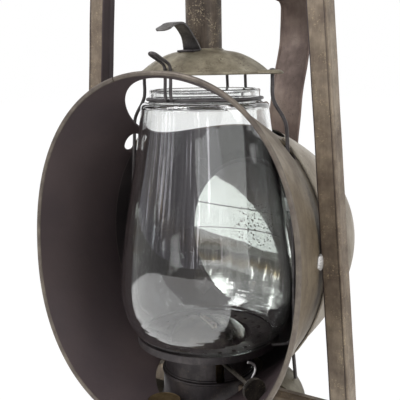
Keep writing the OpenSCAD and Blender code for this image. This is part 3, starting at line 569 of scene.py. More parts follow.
foot_x = EYE_PLACE - EYE_WIRE
eye_points = [(foot_x, 0, heights("shaft_eye")[0] - SHAFT_HEIGHT), (foot_x, 0.0003, -0.0050)]
for i, (y, z) in enumerate(arc((0, 0), EYE_RADIUS, -math.pi / 2, math.pi * 2.5, 16)):
    eye_points.append((foot_x + 2 * EYE_WIRE * i / 16, y, z))
eye_points += [(EYE_PLACE + EYE_WIRE, y, z) for y, z in (
    (0.0005, 0.0060), (0.0024, 0.0096), (0.0026, 0.0126), (0.0008, 0.0152), (-0.0024, 0.0166))]
eye = bent_wire([burner_turned @ Vector((x, y + SHAFT_OFFSET, z + SHAFT_HEIGHT)) for x, y, z in eye_points],
                EYE_WIRE)
finished(eye, "wire_eye", "frame", bright_wire, "shaft_eye", 60)


# Collar and cradle: a plain collar of dark tinplate, soldered on the dome, carries the globe plate
# and takes in the two bottom legs. A half-round cradle behind it holds the bowl, with two rods.
COLLAR_RADIUS = 0.0323
COLLAR_TOP = 0.073
LEG_LOW = 0.0563
LEG_HEIGHT = 0.0125
TUBE_DEPTH = 0.013
TUBE_MIDDLE = -0.0038
LEG_PLAY = 0.0001
dark_tin = aged_tin("dark_tin", (0.018, 0.014, 0.015), (0.038, 0.031, 0.032), (0.080, 0.068, 0.065),
                    (0.100, 0.075, 0.050), metal=0.25, rough=(0.40, 0.62), patch=60)
cradle_tin = aged_tin("cradle_tin", (0.090, 0.078, 0.052), (0.150, 0.132, 0.092), (0.230, 0.205, 0.145),
                      (0.050, 0.036, 0.022))
dark_wire = aged_tin("dark_wire", (0.045, 0.040, 0.040), (0.080, 0.072, 0.072), (0.130, 0.118, 0.115),
                     (0.060, 0.036, 0.024), metal=0.4, rough=(0.34, 0.55), patch=120, streak=0.2)


def box_cutter(low, high):
    return started(bpy.ops.mesh.primitive_cube_add, size=1, location=[(a + b) / 2 for a, b in zip(low, high)],
                   scale=[b - a for a, b in zip(low, high)])


def cut_for_tubes(piece, inner, outer, low, high, play=0.0):
    """Cuts the openings where a tube goes in at each side."""
    for side in (-1, 1):
        near, far = sorted((side * inner, side * outer))
        cut_away(piece, box_cutter((near, TUBE_MIDDLE - TUBE_DEPTH / 2 - play, low - play),
                                   (far, TUBE_MIDDLE + TUBE_DEPTH / 2 + play, high + play)))


def beside(radius, height, *steps):
    """Points given by their steps out from a radius and up from a height."""
    return [(radius + out, height + up) for out, up in steps]


collar_foot = heights("lower_collar")[0]
collar_in = COLLAR_RADIUS - 0.0008
collar = spun([(collar_in, collar_foot)]
              + beside(COLLAR_RADIUS, collar_foot, (0.0012, -0.0006), (0.0014, -0.0001), (0.0002, 0.0009))
              + [(COLLAR_RADIUS, COLLAR_TOP - 0.0022)]
              + arc((COLLAR_RADIUS, COLLAR_TOP - 0.0009), 0.0009, -math.pi / 2, math.pi / 2, 8)
              + [(collar_in, COLLAR_TOP)])
cut_for_tubes(collar, 0.026, 0.036, LEG_LOW, LEG_LOW + LEG_HEIGHT, LEG_PLAY)
finished(collar, "collar", "frame", dark_tin, "lower_collar")
eased("bowl_saddle", "cradle", "frame", cradle_tin, 0.0003, 3)
eased("bowl_braces", "bowl_rods", "frame", dark_wire, 0.0002, 2)


# Side tubes: square air tubes, each folded from two strips of tinplate. The joint stands up as a
# ridge at the front outer corner, and a lower one runs down the inner face. Speckled with ochre; the
# faces turned towards the hood are darkened with painted shade and some soot.
TUBE_HALF_GAP = 0.0878
TUBE_SPLAY = 0.072
TUBE_LEVEL = 0.290
TUBE_WIDTH = 0.0132
TUBE_SHEET = 0.0007
CORNER_RADIUS = 0.0014
CORNER_PLAY = 0.0001
LEG_START = 0.0305
LEG_RUN = 0.0675
SIDE_LOW = 0.0705
SIDE_RUN = 0.2790
ARM_START = 0.0765
ARM_RUN = 0.0585
ARM_LOW = 0.351
ARM_HEIGHT = 0.013
FRAME_TOP = ARM_LOW + ARM_HEIGHT
tube_tin = aged_tin("tube_tin", (0.105, 0.074, 0.054), (0.195, 0.150, 0.108), (0.330, 0.265, 0.190),
                    (0.390, 0.305, 0.190), metal=0.25, rough=(0.40, 0.66), patch=46, specks=(0.55, 0.64))


def sooted_and_shaded(material, deep, mid, middle=(0, 0, 0), across=(1, 0, 0), rough=0.62):
    """Adds dark soot and painted shade to the faces that look towards the middle line, whose way is left out
    of across.
    """
    tree = material.node_tree
    shader = tree.nodes["Principled BSDF"]
    coords = added(tree, "TexCoord")
    away = added(tree, "VectorMath", coords["Object"], middle, operation="SUBTRACT")[0]
    flat = added(tree, "VectorMath", away, across, operation="MULTIPLY")[0]
    turned = added(tree, "VectorMath", flat, coords["Normal"], operation="DOT_PRODUCT")["Value"]
    size = added(tree, "VectorMath", flat, operation="LENGTH")["Value"]
    share = added(tree, "Math", turned, size, operation="DIVIDE")[0]
    # Faces turned towards the middle get the dark colour: painted shade of the inside, over real soot.
    inner = added(tree, "MapRange", share, From_Min=-0.35, From_Max=-0.15, To_Min=1.0, To_Max=0.0)[0]
    cloud = added(tree, "TexNoise", Vector=coords["Object"], Scale=18, Detail=4)["Fac"]
    bare = shader.inputs["Base Color"].links[0].from_socket
    worn = shader.inputs["Roughness"].links[0].from_socket
    soot_and_shade = toned(tree, cloud, [(0.35, deep), (0.65, mid)])
    fed(tree, shader, Base_Color=blended(tree, "MIX", inner, bare, soot_and_shade),
        Roughness=added(tree, "Mix", Factor=inner, A=worn, B=rough)[0])


def shaped_sheet(around, along, place, wall, offset=-1):
    """A flat grid pushed onto a curved sheet: place(turn, run) gives each point, both from 0 to 1.
    It is merged where it closes on itself, and then gets its wall, which is inside at offset -1."""
    sheet = started(bpy.ops.mesh.primitive_grid_add, x_subdivisions=around, y_subdivisions=along, size=2)
    for v in sheet.data.vertices:
        v.co = place((v.co.x + 1) / 2, (v.co.y + 1) / 2)
    edited(merged(2e-6), FACES_OUT)
    modified(sheet, "SOLIDIFY", thickness=wall, offset=offset)
    return sheet


def at_share(points, share):
    """The point that lies nearest to this share of the way along the points, and its number."""
    i = min(len(points) - 1, round(share * (len(points) - 1)))
    return points[i], i


def tube_middle(z):
    return TUBE_HALF_GAP + TUBE_SPLAY * (TUBE_LEVEL - z)


def tube_path():
    """Middle line of the right tube in the XZ plane, with the way out and the half width there."""
    lean = math.atan(TUBE_SPLAY)
    leg_half, side_half, arm_half = LEG_HEIGHT / 2, TUBE_WIDTH / 2, ARM_HEIGHT / 2
    line = [((LEG_START + LEG_RUN * i / 12, LEG_LOW + leg_half), (0.0, -1.0), leg_half) for i in range(13)]

    def bend(z, way, first, half, last_half):
        x = tube_middle(z) - side_half - CORNER_PLAY
        z += way * CORNER_PLAY
        for i in range(1, 9):
            a = first + (math.pi / 2 - lean) * i / 9
            wide = half + (last_half - half) * i / 9
            out = (math.cos(a), math.sin(a))
            line.append(((x + out[0] * wide, z + out[1] * wide), out, wide))

    bend(LEG_LOW + LEG_HEIGHT, 1, -math.pi / 2, leg_half, side_half)
    out = (math.cos(-lean), math.sin(lean))
    for i in range(41):
        z = SIDE_LOW + SIDE_RUN * i / 40
        line.append(((tube_middle(z), z), out, side_half))
    bend(ARM_LOW, -1, lean, side_half, arm_half)
    return line + [((ARM_START - ARM_RUN * i / 12, ARM_LOW + arm_half), (0.0, 1.0), arm_half)
                   for i in range(13)]


def tube_profile():
    """Points round a square tube: share of the way out and of the way back, and metres added to each."""
    ridges = {
        (1, -1): [(1, -0.66, 0.0, 0.0), (1, -0.64, -0.00035, 0.0), (1, -0.60, -0.00035, 0.0),
                  (1, -0.56, 0.0, 0.0), (1, 0.0, -0.0001, 0.0)],
        (1, 1): [(0.4, 1, 0.0, 0.0), (0.0, 1, 0.0, 0.0001), (-0.4, 1, 0.0, 0.0)],
        (-1, 1): [(-1, 0.36, 0.0, 0.0), (-1, 0.24, -0.0004, 0.0), (-1, 0.08, -0.0004, 0.0),
                  (-1, -0.02, 0.0, 0.0)],
        (-1, -1): [(-0.5, -1, 0.0, 0.0), (0.0, -1, 0.0, 0.00015), (0.5, -1, 0.0, 0.0),
                   (0.80, -1, 0.0, 0.0), (0.84, -1, 0.0, -0.0003), (0.90, -1, 0.0, -0.0003)]}
    points = []
    for quarter, ((cx, cy), ridge) in enumerate(ridges.items()):
        for i in range(5):
            a = math.radians(90 * quarter - 90 + 22.5 * i)
            points.append((cx, cy, CORNER_RADIUS * (math.cos(a) - cx), CORNER_RADIUS * (math.sin(a) - cy)))
        points += ridge
    return points


path = tube_path()
profile = tube_profile()


def tube_point(side):
    def place(turn, run):
        (x, z), out, half = at_share(path, run)[0]
        a, b, da, db = profile[round(turn * len(profile)) % len(profile)]
        away = a * half + da
        wave = 0.00012 * math.sin(z * 131 + b * 2) + 0.0001 * math.sin(z * 57 + a * 3)
        return side * (x + out[0] * away), TUBE_MIDDLE + b * TUBE_DEPTH / 2 + db + wave * b, z + out[1] * away
    return place


# Painted shade, with some soot, on the faces of the tubes that look towards the hood.
sooted_and_shaded(tube_tin, (0.040, 0.028, 0.030), (0.070, 0.050, 0.050))
for side, name in ((1, "right"), (-1, "left")):
    tube = shaped_sheet(len(profile), len(path) - 1, tube_point(side), TUBE_SHEET)
    finished(tube, name + "_tube", "frame", tube_tin, name + "_air_tube", 28)


# Drum, cap and chimney: the arms end in a small drum under a domed cap, and the chimney hangs
# from it, a tube of rolled sheet with a lapped seam, stained by heat to a mottled brown.
HUB_RADIUS = 0.0195
HUB_LOW = ARM_LOW - 0.001
HUB_HIGH = HUB_LOW + 0.018
HUB_SHEET = 0.0008
CHIMNEY_RADIUS = 0.0121
CHIMNEY_SHEET = 0.0007
CHIMNEY_LAP = 0.00035
chimney_tin = aged_tin("chimney_tin", (0.044, 0.030, 0.022), (0.085, 0.062, 0.043), (0.155, 0.120, 0.080),
                       (0.330, 0.270, 0.180), metal=0.3, rough=(0.36, 0.62), patch=60, streak=0.85,
                       drawn=(1, 1, 0.10), specks=(0.56, 0.60))
hub = spun([(HUB_RADIUS - HUB_SHEET, HUB_LOW + HUB_SHEET), (CHIMNEY_RADIUS + 0.0001, HUB_LOW + HUB_SHEET),
            (CHIMNEY_RADIUS + 0.0001, HUB_LOW)]
           + arc((HUB_RADIUS - 0.0012, HUB_LOW + 0.0012), 0.0012, -math.pi / 2, 0, 5)
           + beside(HUB_RADIUS, HUB_LOW, (0, 0.0140), (0.0006, 0.0147), (0, 0.0154))
           + beside(HUB_RADIUS, HUB_HIGH, (0, 0), (-HUB_SHEET, 0)), 96)
cut_for_tubes(hub, 0.014, 0.022, ARM_LOW, FRAME_TOP)
finished(hub, "drum", "frame", chimney_tin, "top_hub")

lid_in, lid_edge = HUB_RADIUS + 0.0001, HUB_RADIUS + 0.0009
lid = spun([(lid_in, FRAME_TOP + 0.0006)]
           + arc((lid_edge, FRAME_TOP + 0.0010), 0.0006, -math.pi / 2, math.pi / 2, 6)
           + [(lid_edge, HUB_HIGH - 0.0005)]
           + curved((lid_edge, HUB_HIGH), (HUB_RADIUS - 0.001, HUB_HIGH + 0.005),
                    (0.010, HUB_HIGH + 0.008), (0.0, HUB_HIGH + 0.008), 14)
           + curved((lid_in, HUB_HIGH + 0.0001), (HUB_RADIUS - 0.002, HUB_HIGH + 0.0042),
                    (0.010, HUB_HIGH + 0.0071), (0.0, HUB_HIGH + 0.0071), 12)[::-1], 96)
finished(lid, "drum_cap", "frame", tube_tin, "top_cap")

chimney_low, chimney_high = heights("chimney")


def chimney_point(turn, run):
    a = math.tau * turn + 2.2
    radius = CHIMNEY_RADIUS - 0.0001 + (CHIMNEY_LAP if 0.47 < turn < 0.53 else 0.0)
    z = chimney_low + (chimney_high - chimney_low) * run
    return radius * math.cos(a), radius * math.sin(a), z


chimney = shaped_sheet(72, 24, chimney_point, CHIMNEY_SHEET)
finished(chimney, "chimney_tube", "frame", chimney_tin, "chimney", 25)
eased("bail_ears", "bail_plates", "frame", dark_tin, 0.0003, 2)


# Hood band: one long strip of tinplate rolled to a deep oval, blackened brown inside and darker still
# there from painted shade. Its front edge is rolled over a wire, and round holes are cut for the globe,
# the guard wires and the cap.
SEAM_PLACE = 0.004
SEAM_MIDDLE = 0.1615
SEAM_WIDTH = 0.0875
SEAM_HEIGHT = 0.098
MOUTH_PLACE = 0.0619
MOUTH_MIDDLE = 0.1652
MOUTH_WIDTH = 0.102
MOUTH_HEIGHT = 0.1167
MOUTH_LEAN = math.radians(2.1)
HOOD_SHEET = 0.0009
RIM_WIRE = 0.0016
RIM_ROLL = 0.0023
RIM_JOIN = 0.292
TOP_HOLE = 0.0536
FLOOR_HOLE = 0.0383
GUARD_SLOTS = 0.063
GUARD_SLOT_RADIUS = 0.0055
HOOD_TOP = 0.36
hood_tin = aged_tin("hood_tin", (0.098, 0.072, 0.046), (0.170, 0.132, 0.086), (0.262, 0.213, 0.146),
                    (0.070, 0.048, 0.034), metal=0.2, rough=(0.42, 0.66), patch=34, streak=0.3,
                    drawn=(0.12, 1, 0.12), specks=(0.56, 0.62))
# Soot and painted shade on the faces inside the hood.
sooted_and_shaded(hood_tin, (0.058, 0.042, 0.044), (0.080, 0.058, 0.057), (0, 0, 0.163), (1, 0, 1), 0.55)
rim_steel = aged_tin("rim_steel", (0.080, 0.064, 0.054), (0.140, 0.115, 0.092), (0.215, 0.180, 0.140),
                     (0.060, 0.042, 0.032), metal=0.3, rough=(0.38, 0.58), patch=80, streak=0.15)


def band_point(turn, run, proud=0.0):
    """A point of the hood band: run goes from the seam with the bowl, 0, to the open mouth, 1."""
    width = SEAM_WIDTH + (MOUTH_WIDTH - RIM_ROLL - SEAM_WIDTH) * run ** 1.3 + proud
    height = SEAM_HEIGHT + (MOUTH_HEIGHT - RIM_ROLL - SEAM_HEIGHT) * run + proud
    squareness = 2 / (2 + 0.215 * run)
    x, z = (math.copysign(abs(part) ** squareness, part)
            for part in (math.cos(math.tau * turn), math.sin(math.tau * turn)))
    rise = height * z
    dent = 0.0003 * math.sin(9 * turn * math.tau + 5 * run) * math.sin(math.pi * run)
    return ((width + dent) * x,
            SEAM_PLACE - (SEAM_PLACE + MOUTH_PLACE) * run + rise * math.sin(MOUTH_LEAN) * run,
            SEAM_MIDDLE + (MOUTH_MIDDLE - SEAM_MIDDLE) * run + rise * math.cos(MOUTH_LEAN * run))


def cut_hood_holes(piece):
    cut_away(piece, round_cutter(0, 0, SEAM_MIDDLE, HOOD_TOP, TOP_HOLE, 128))
    cut_away(piece, round_cutter(0, 0, 0.02, SEAM_MIDDLE - 0.02, FLOOR_HOLE))
    for side in (-1, 1):
        cut_away(piece, round_cutter(side * GUARD_SLOTS, -0.002, SEAM_MIDDLE, HOOD_TOP,
                                     GUARD_SLOT_RADIUS, 48))


band = shaped_sheet(176, 22, band_point, HOOD_SHEET)
cut_hood_holes(band)
cut_away(band, round_cutter(*FILLER_PLACE, 0.03, 0.10, CAP_RADIUS + 0.002, 64))
finished(band, "hood", "frame", hood_tin, "hood_band", 30)

rim_gap = 0.0006
rim = bent_wire([band_point(RIM_JOIN + rim_gap + (1 - 2 * rim_gap) * i / 120, 1.0, RIM_ROLL - RIM_WIRE)
                 for i in range(121)], RIM_WIRE, sides=5, steps=4)
finished(rim, "hood_rim", "frame", rim_steel, "hood_rim_wire", 60)


# Bowl: a deep pan drawn from thicker sheet, grey-brown and rubbed outside, and sooty inside with painted
# shade over the soot. It is folded onto the band with a standing seam.
BOWL_DEPTH = 0.1446
BOWL_END = 0.153
BOWL_POWER = 1.95
bowl_tin = aged_tin("bowl_tin", (0.185, 0.150, 0.112), (0.300, 0.255, 0.195), (0.420, 0.370, 0.290),
                    (0.090, 0.064, 0.042), metal=0.25, rough=(0.42, 0.66), patch=30, streak=0.25,
                    specks=(0.56, 0.62))
# Soot and painted shade on the faces inside the bowl.
sooted_and_shaded(bowl_tin, (0.034, 0.027, 0.028), (0.070, 0.058, 0.056), (0, 0, 0.157), (1, 0, 1), 0.45)


def bowl_oval(u):
    """Half the width and the height of the bowl, and its middle's height, at a share of its depth."""
    width = SEAM_WIDTH * max(0.0, 1 - u ** BOWL_POWER) ** (1 / 2.4)
    return (width, width * (1 + (SEAM_HEIGHT / SEAM_WIDTH - 1) * (1 - u) ** 4),
            BOWL_END + (SEAM_MIDDLE - BOWL_END) * (1 - u) ** 2)


def bowl_point(turn, run):
    u = min(1.0, 0.9999 * math.sin(math.pi / 2 * run))
    width, height, middle = bowl_oval(u)
    closed = 1 if run < 1 else 0
    return (closed * width * math.cos(math.tau * turn), SEAM_PLACE + 0.0001 + BOWL_DEPTH * u,
            middle + closed * height * math.sin(math.tau * turn))


bowl = shaped_sheet(144, 34, bowl_point, HOOD_SHEET)
cut_hood_holes(bowl)
finished(bowl, "bowl", "frame", bowl_tin, "reflector_bowl", 30)
eased("hood_seam", "standing_seam", "frame", bowl_tin, 0.0002, 1, 60)


# Mirror: a round concave mirror of silvered glass in a turned ring, its silver pitted with dark
# specks at one side. Four lugs of bent strip hold it in front of the bowl's wall.
MIRROR_RADIUS = 0.0613
MIRROR_CURVE = 0.145
MIRROR_PLACE = 0.0702
MIRROR_HEIGHT = 0.1522
MIRROR_THICK = 0.003
RING_DEPTH = 0.0048
LUG_WIDTH = 0.0070
LUG_THICK = 0.0009
LUG_START = 0.0600
LUG_BEND = 0.004
LUG_TAB = 0.0095
facing = (Matrix.Translation((0, MIRROR_PLACE, MIRROR_HEIGHT))
          @ Matrix.Rotation(-math.pi / 2, 4, "X"))


def silvering():
    material, tree, shader, spot = new_material("silvered_mirror")
    patch = added(tree, "Mapping", spot, Location=(0.004, -0.083, -0.157))[0]
    far = added(tree, "VectorMath", patch, operation="LENGTH")["Value"]
    near = added(tree, "MapRange", far, From_Min=0.004, From_Max=0.034, To_Min=1.0, To_Max=0.0)[0]
    pits = added(tree, "TexVoronoi", Vector=spot, Scale=470, Randomness=1.0)["Distance"]
    choose = added(tree, "TexNoise", Vector=spot, Scale=260, Detail=2)["Fac"]
    chosen = added(tree, "Math", choose, near, operation="MULTIPLY")[0]
    bare = blended(tree, "MULTIPLY", 1.0, toned(tree, pits, [(0.22, 1), (0.34, 0)]),
                   toned(tree, chosen, [(0.16, 0), (0.27, 1)]))
    haze = added(tree, "TexNoise", Vector=spot, Scale=30, Detail=5, Roughness=0.6)["Fac"]
    glass = toned(tree, haze, [(0.3, (0.70, 0.74, 0.71)), (0.7, (0.84, 0.87, 0.84))])
    dull = added(tree, "MapRange", bare, To_Min=0.035, To_Max=0.6)[0]
    ripple = added(tree, "Bump", Height=haze, Strength=0.06, Distance=0.0006)[0]
    fed(tree, shader, Base_Color=blended(tree, "MIX", bare, glass, (0.10, 0.085, 0.060)), Roughness=dull,
        Metallic=1.0, Normal=ripple)
    return material


edge_angle = math.asin(MIRROR_RADIUS / MIRROR_CURVE)
mirror_back = MIRROR_CURVE * math.cos(edge_angle)
front = arc((0, -mirror_back), MIRROR_CURVE, math.pi / 2 - edge_angle, math.pi / 2, 32)
back = arc((0, MIRROR_THICK - mirror_back), MIRROR_CURVE, math.pi / 2 - edge_angle, math.pi / 2, 24)
mirror = spun(front + back[::-1])
mirror.matrix_world = facing
finished(mirror, "mirror", "frame", silvering(), "reflector_mirror", 40)

mirror_ring = spun([(MIRROR_RADIUS - 0.0018, -0.0004)]
                   + arc((MIRROR_RADIUS - 0.0014, -0.0008), 0.0004, math.pi, math.pi * 1.5, 4)
                   + arc((MIRROR_RADIUS + 0.0002, -0.0002), 0.0010, -math.pi / 2, 0, 6)
                   + beside(MIRROR_RADIUS, RING_DEPTH, (0.0012, 0), (0.0004, 0))
                   + [(MIRROR_RADIUS + 0.0004, -0.0004)])
mirror_ring.matrix_world = facing
finished(mirror_ring, "mirror_rim", "frame", dark_tin, "mirror_ring")


def mirror_lug(side, up):
    """A bent strip: flat in front of the mirror's ring, then turned back along the bowl's wall."""
    out = Vector((side, 0, up)).normalized()
    across = Vector((up, 0, -side)).normalized()
    start = Vector((0, MIRROR_PLACE - 0.0012 - LUG_THICK / 2, MIRROR_HEIGHT))
    flat_end, bend_end, tab_end = (
        (bowl.ray_cast(start + Vector((0, deep, 0)), out)[1] - start - Vector((0, deep, 0))).length
        - LUG_THICK / 2 for deep in (0.0, LUG_BEND, LUG_TAB))
    line = [(LUG_START + (flat_end - 0.006 - LUG_START) * i / 3, 0.0) for i in range(3)]
    line += curved((flat_end - 0.006, 0.0), (flat_end - 0.001, 0.0),
                   (bend_end, 0.0005), (bend_end, LUG_BEND), 8)
    line += [((bend_end + tab_end) / 2, (LUG_BEND + LUG_TAB) / 2), (tab_end, LUG_TAB)]

    def place(turn, run):
        far, deep = at_share(line, run)[0]
        return start + out * far + Vector((0, deep, 0)) + across * LUG_WIDTH * (turn - 0.5)

    return shaped_sheet(6, len(line) - 1, place, LUG_THICK, 0)


bpy.context.view_layer.update()
lugs = [mirror_lug(side, up) for side in (-1, 1) for up in (-1, 1)]
finished(joined(lugs), "mirror_holders", "frame", dark_tin, "mirror_lugs", 50)


# Solder: soft solder run on by hand and gone dull grey. An uneven lump of it joins each side tube
# to the side of the hood.
SOLDER_PLACE = Vector((0.0903, TUBE_MIDDLE - 0.0060, 0.1640))
SOLDER_SIZE = Vector((0.0018, 0.0052, 0.0050))
solder_grey = aged_tin("solder", (0.400, 0.390, 0.370), (0.600, 0.590, 0.570), (0.780, 0.770, 0.750),
                       (0.200, 0.180, 0.150), metal=0.45, rough=(0.40, 0.60), patch=240, streak=0.1)
lumps = []
for side in (-1, 1):
    lump = started(bpy.ops.mesh.primitive_ico_sphere_add, subdivisions=4, radius=1)
    for v in lump.data.vertices:
        p = v.co.copy()
        swell = 1 + 0.10 * math.sin(5 * p.z + 3 * p.y) + 0.07 * math.sin(9 * p.y - 4 * p.z)
        v.co = SOLDER_PLACE + SOLDER_SIZE * Vector((p.x, p.y * swell, p.z * swell))
        v.co.x *= side
    lumps.append(edited(FACES_OUT))
finished(joined(lumps), "solder_lumps", "frame", solder_grey, "hood_joints", 80)


# Rear handle: a broad strap of tinplate with rolled edges, riveted on the bowl and bent over to
# the drum. Brown and worn, with dark creases along the rolled edges.
STRAP_WIDTH = 0.0285
STRAP_THICK = 0.0012
STRAP_LIFT = 0.0013
STRAP_CROWN = 0.0010
HEM_RADIUS = 0.00118
HEM_LIFT = 0.0004
BEND_PLACE = 0.132
BEND_HEIGHT = 0.3307
BEND_RADIUS = 0.006
TOP_SLOPE = math.tan(math.radians(10))
strap_tin = aged_tin("strap_tin", (0.080, 0.052, 0.042), (0.145, 0.100, 0.080), (0.220, 0.165, 0.130),
                     (0.045, 0.030, 0.022), metal=0.2, rough=(0.42, 0.66), patch=34, streak=0.25)


def bowl_top(y):
    width, height, middle = bowl_oval((y - SEAM_PLACE) / BOWL_DEPTH)
    return middle + height


def even_steps(knots, step):
    """Points at equal steps along a line of (y, z) knots that is rounded off at each knot."""
    fine = []
    count = len(knots)
    for i in range(count - 1):
        p0, p1, p2, p3 = (knots[max(0, min(count - 1, i + k))] for k in (-1, 0, 1, 2))
        for t in (j / 12 for j in range(12)):
            fine.append(tuple(0.5 * (2 * p1[k] + (p2[k] - p0[k]) * t
                                     + (2 * p0[k] - 5 * p1[k] + 4 * p2[k] - p3[k]) * t * t
                                     + (3 * p1[k] - p0[k] - 3 * p2[k] + p3[k]) * t ** 3) for k in (0, 1)))
    fine.append(knots[-1])
    lengths = [0.0]
    for a, b in zip(fine, fine[1:]):
        lengths.append(lengths[-1] + math.dist(a, b))
    parts = max(2, round(lengths[-1] / step))
    points, j = [], 0
    for i in range(parts + 1):
        target = lengths[-1] * i / parts
        while j < len(lengths) - 2 and lengths[j + 1] < target:
            j += 1
        share = (target - lengths[j]) / max(1e-9, lengths[j + 1] - lengths[j])
        points.append(tuple(fine[j][k] + (fine[j + 1][k] - fine[j][k]) * share for k in (0, 1)))
    return points


def outward(line, i):
    """The way square to the line at point i, to the left of its run."""
    (y0, z0), (y1, z1) = line[max(0, i - 1)], line[min(len(line) - 1, i + 1)]
    size = math.dist((y0, z0), (y1, z1))
    return (z1 - z0) / size, (y0 - y1) / size


strap_knots = [(y, bowl_top(y) + STRAP_LIFT) for y in (0.128, 0.124, 0.120, 0.116)]
strap_knots += [(0.1132, 0.2175), (0.1134, 0.2230), (0.1165, 0.2400), (0.1200, 0.2560), (0.1245, 0.2710),
                (0.1297, 0.2850), (0.1336, 0.2960), (0.1362, 0.3040), (0.1380, 0.3180)]
strap_knots += arc((BEND_PLACE, BEND_HEIGHT), BEND_RADIUS, 0, math.radians(80), 8)
last_y, last_z = strap_knots[-1]
strap_knots += [(y, last_z + (last_y - y) * TOP_SLOPE) for y in (0.100, 0.080, 0.060, 0.040, 0.0190)]
strap_line = even_steps(strap_knots, 0.003)


def strap_point(turn, run):
    (y, z), i = at_share(strap_line, run)
    ny, nz = outward(strap_line, i)
    across = 2 * turn - 1
    crown = STRAP_CROWN * (1 - across * across) * min(1.0, i / 6) + 0.0002 * math.sin(i * 0.7) * across
    lift = STRAP_THICK / 2 + crown
    return across * (STRAP_WIDTH / 2 - STRAP_THICK), y + ny * lift, z + nz * lift


def hem_point(side, i):
    y, z = strap_line[i]
    ny, nz = outward(strap_line, i)
    sway = 0.0002 * math.sin(i * 0.45 + side)
    return side * (STRAP_WIDTH / 2 - 0.0011) + sway, y + ny * HEM_LIFT, z + nz * HEM_LIFT


strap = shaped_sheet(16, len(strap_line) - 1, strap_point, STRAP_THICK, 0)
hems = [bent_wire([hem_point(side, i) for i in range(3, len(strap_line))], HEM_RADIUS, steps=2)
        for side in (-1, 1)]
strap = joined([strap] + hems)
cut_away(strap, round_cutter(0, 0, HUB_LOW - 0.02, HUB_HIGH + 0.02, HUB_RADIUS + 0.0001))
finished(strap, "strap", "frame", strap_tin, "rear_handle", 50)
eased("handle_rivets", "strap_rivets", "frame", strap_tin, 0.0004, 3, 60)


# Bell: a spun cap of tinplate with a rolled rim and a short neck that slides on the chimney. Two
# flat ears on its rim carry the guard wires. Heat has turned it a speckled olive brown.
BELL_RADIUS = 0.044
BELL_HEIGHT = 0.2793
BELL_RISE = 0.0163
BELL_SHEET = 0.0009
BELL_CROWN = BELL_HEIGHT + 0.88 * BELL_RISE
NECK_START = CHIMNEY_RADIUS + 0.0058
CLIP_LEG = 0.0415
CLIP_LOOP_HALF = 0.0021
CLIP_REAR_HALF = 0.0076
EAR_START = 0.0415
EAR_HALF = 0.006
EAR_END = 0.0585
bell_tin = aged_tin("bell_tin", (0.130, 0.108, 0.070), (0.240, 0.208, 0.145), (0.370, 0.335, 0.245),
                    (0.075, 0.055, 0.034), metal=0.3, rough=(0.36, 0.60), patch=90, streak=0.15,
                    specks=(0.54, 0.60))


def bell_side(inset):
    return curved((BELL_RADIUS, BELL_HEIGHT - inset * 0.6),
                  (BELL_RADIUS - 0.0080, BELL_HEIGHT + 0.50 * BELL_RISE - inset),
                  (BELL_RADIUS - 0.0190, BELL_HEIGHT + 0.84 * BELL_RISE - inset),
                  (NECK_START, BELL_CROWN - inset), 22)


rolled = arc((BELL_RADIUS, BELL_HEIGHT), 0.0010, -2.6, 1.9, 10)
neck = curved((NECK_START, BELL_CROWN), *beside(CHIMNEY_RADIUS, BELL_CROWN, (0.0030, 0.0004),
                                                (0.0009, 0.0006), (0.0005, 0.0018)), 8)
inside = beside(CHIMNEY_RADIUS, BELL_CROWN, (0.0003, 0.0018), (0.0003, 0.0004), (0.0020, -BELL_SHEET))
bell = spun(rolled + bell_side(0)[1:] + neck[1:] + inside + bell_side(BELL_SHEET)[::-1][1:-1])
for y, half in ((-CLIP_LEG, CLIP_LOOP_HALF), (CLIP_LEG, CLIP_REAR_HALF)):
    for x in (-half, half):
        cut_away(bell, round_cutter(x, y, BELL_HEIGHT - 0.002, BELL_HEIGHT + 0.02, 0.00135, 20))
finished(bell, "bell_cap", "lift", bell_tin, "bell", 40)


def ear_point(side):
    def place(turn, run):
        x = EAR_START + (EAR_END - EAR_START) * math.sin(math.pi / 2 * run)
        past = max(0.0, x - (EAR_END - EAR_HALF))
        half = math.sqrt(max(0.0, EAR_HALF ** 2 - past * past))
        across = 2 * turn - 1
        edge = min(1.0, math.hypot(across * half, past) / EAR_HALF)
        return side * x, across * half, BELL_HEIGHT + 0.0013 - 0.0020 * edge ** 5
    return place


ears = [shaped_sheet(20, 24, ear_point(side), 0.0010, 0) for side in (-1, 1)]
finished(joined(ears), "bell_lugs", "lift", bell_tin, "bell_ears", 60)


# Guard wires: a stiff wire on each side, headed over in the bell's ear, runs down past the globe
# and is turned in under the plate, and a thinner one goes round the back between them.
GUARD_WIRE = 0.0012
GUARD_SIDE = 0.0669
GUARD_TOP = 0.0515
GUARD_HEAD = 0.0019
BACK_WIRE = 0.0003
BACK_HEIGHT = 0.1595
BACK_DEPTH = 0.062
BACK_SIDE = GUARD_SIDE + GUARD_WIRE + 0.00095
PLATE_RADIUS = 0.050
guard_line = ((GUARD_TOP, BELL_HEIGHT + 0.0018), (GUARD_TOP, BELL_HEIGHT - 0.0060), (GUARD_TOP, 0.2660),
              (0.0523, 0.2620), (0.0600, 0.2496), (0.0611, 0.2466), (0.0623, 0.2320), (0.0650, 0.1960),
              (0.0667, 0.1620), (GUARD_SIDE, 0.1300), (GUARD_SIDE, 0.1120), (0.0660, 0.1065),
              (0.0630, 0.1026), (0.0580, 0.1006), (PLATE_RADIUS + 0.0011, 0.0986))
for side, name in ((1, "right"), (-1, "left")):
    wire = bent_wire([(side * x, 0, z) for x, z in guard_line], GUARD_WIRE, steps=6)
    head = started(bpy.ops.mesh.primitive_uv_sphere_add, segments=20, ring_count=12, radius=GUARD_HEAD,
                   scale=(1, 1, 0.45), location=(side * GUARD_TOP, 0, BELL_HEIGHT + GUARD_HEAD))
    finished(joined([wire, head]), name + "_guard", "lift", dark_wire, name + "_guard_wire", 60)

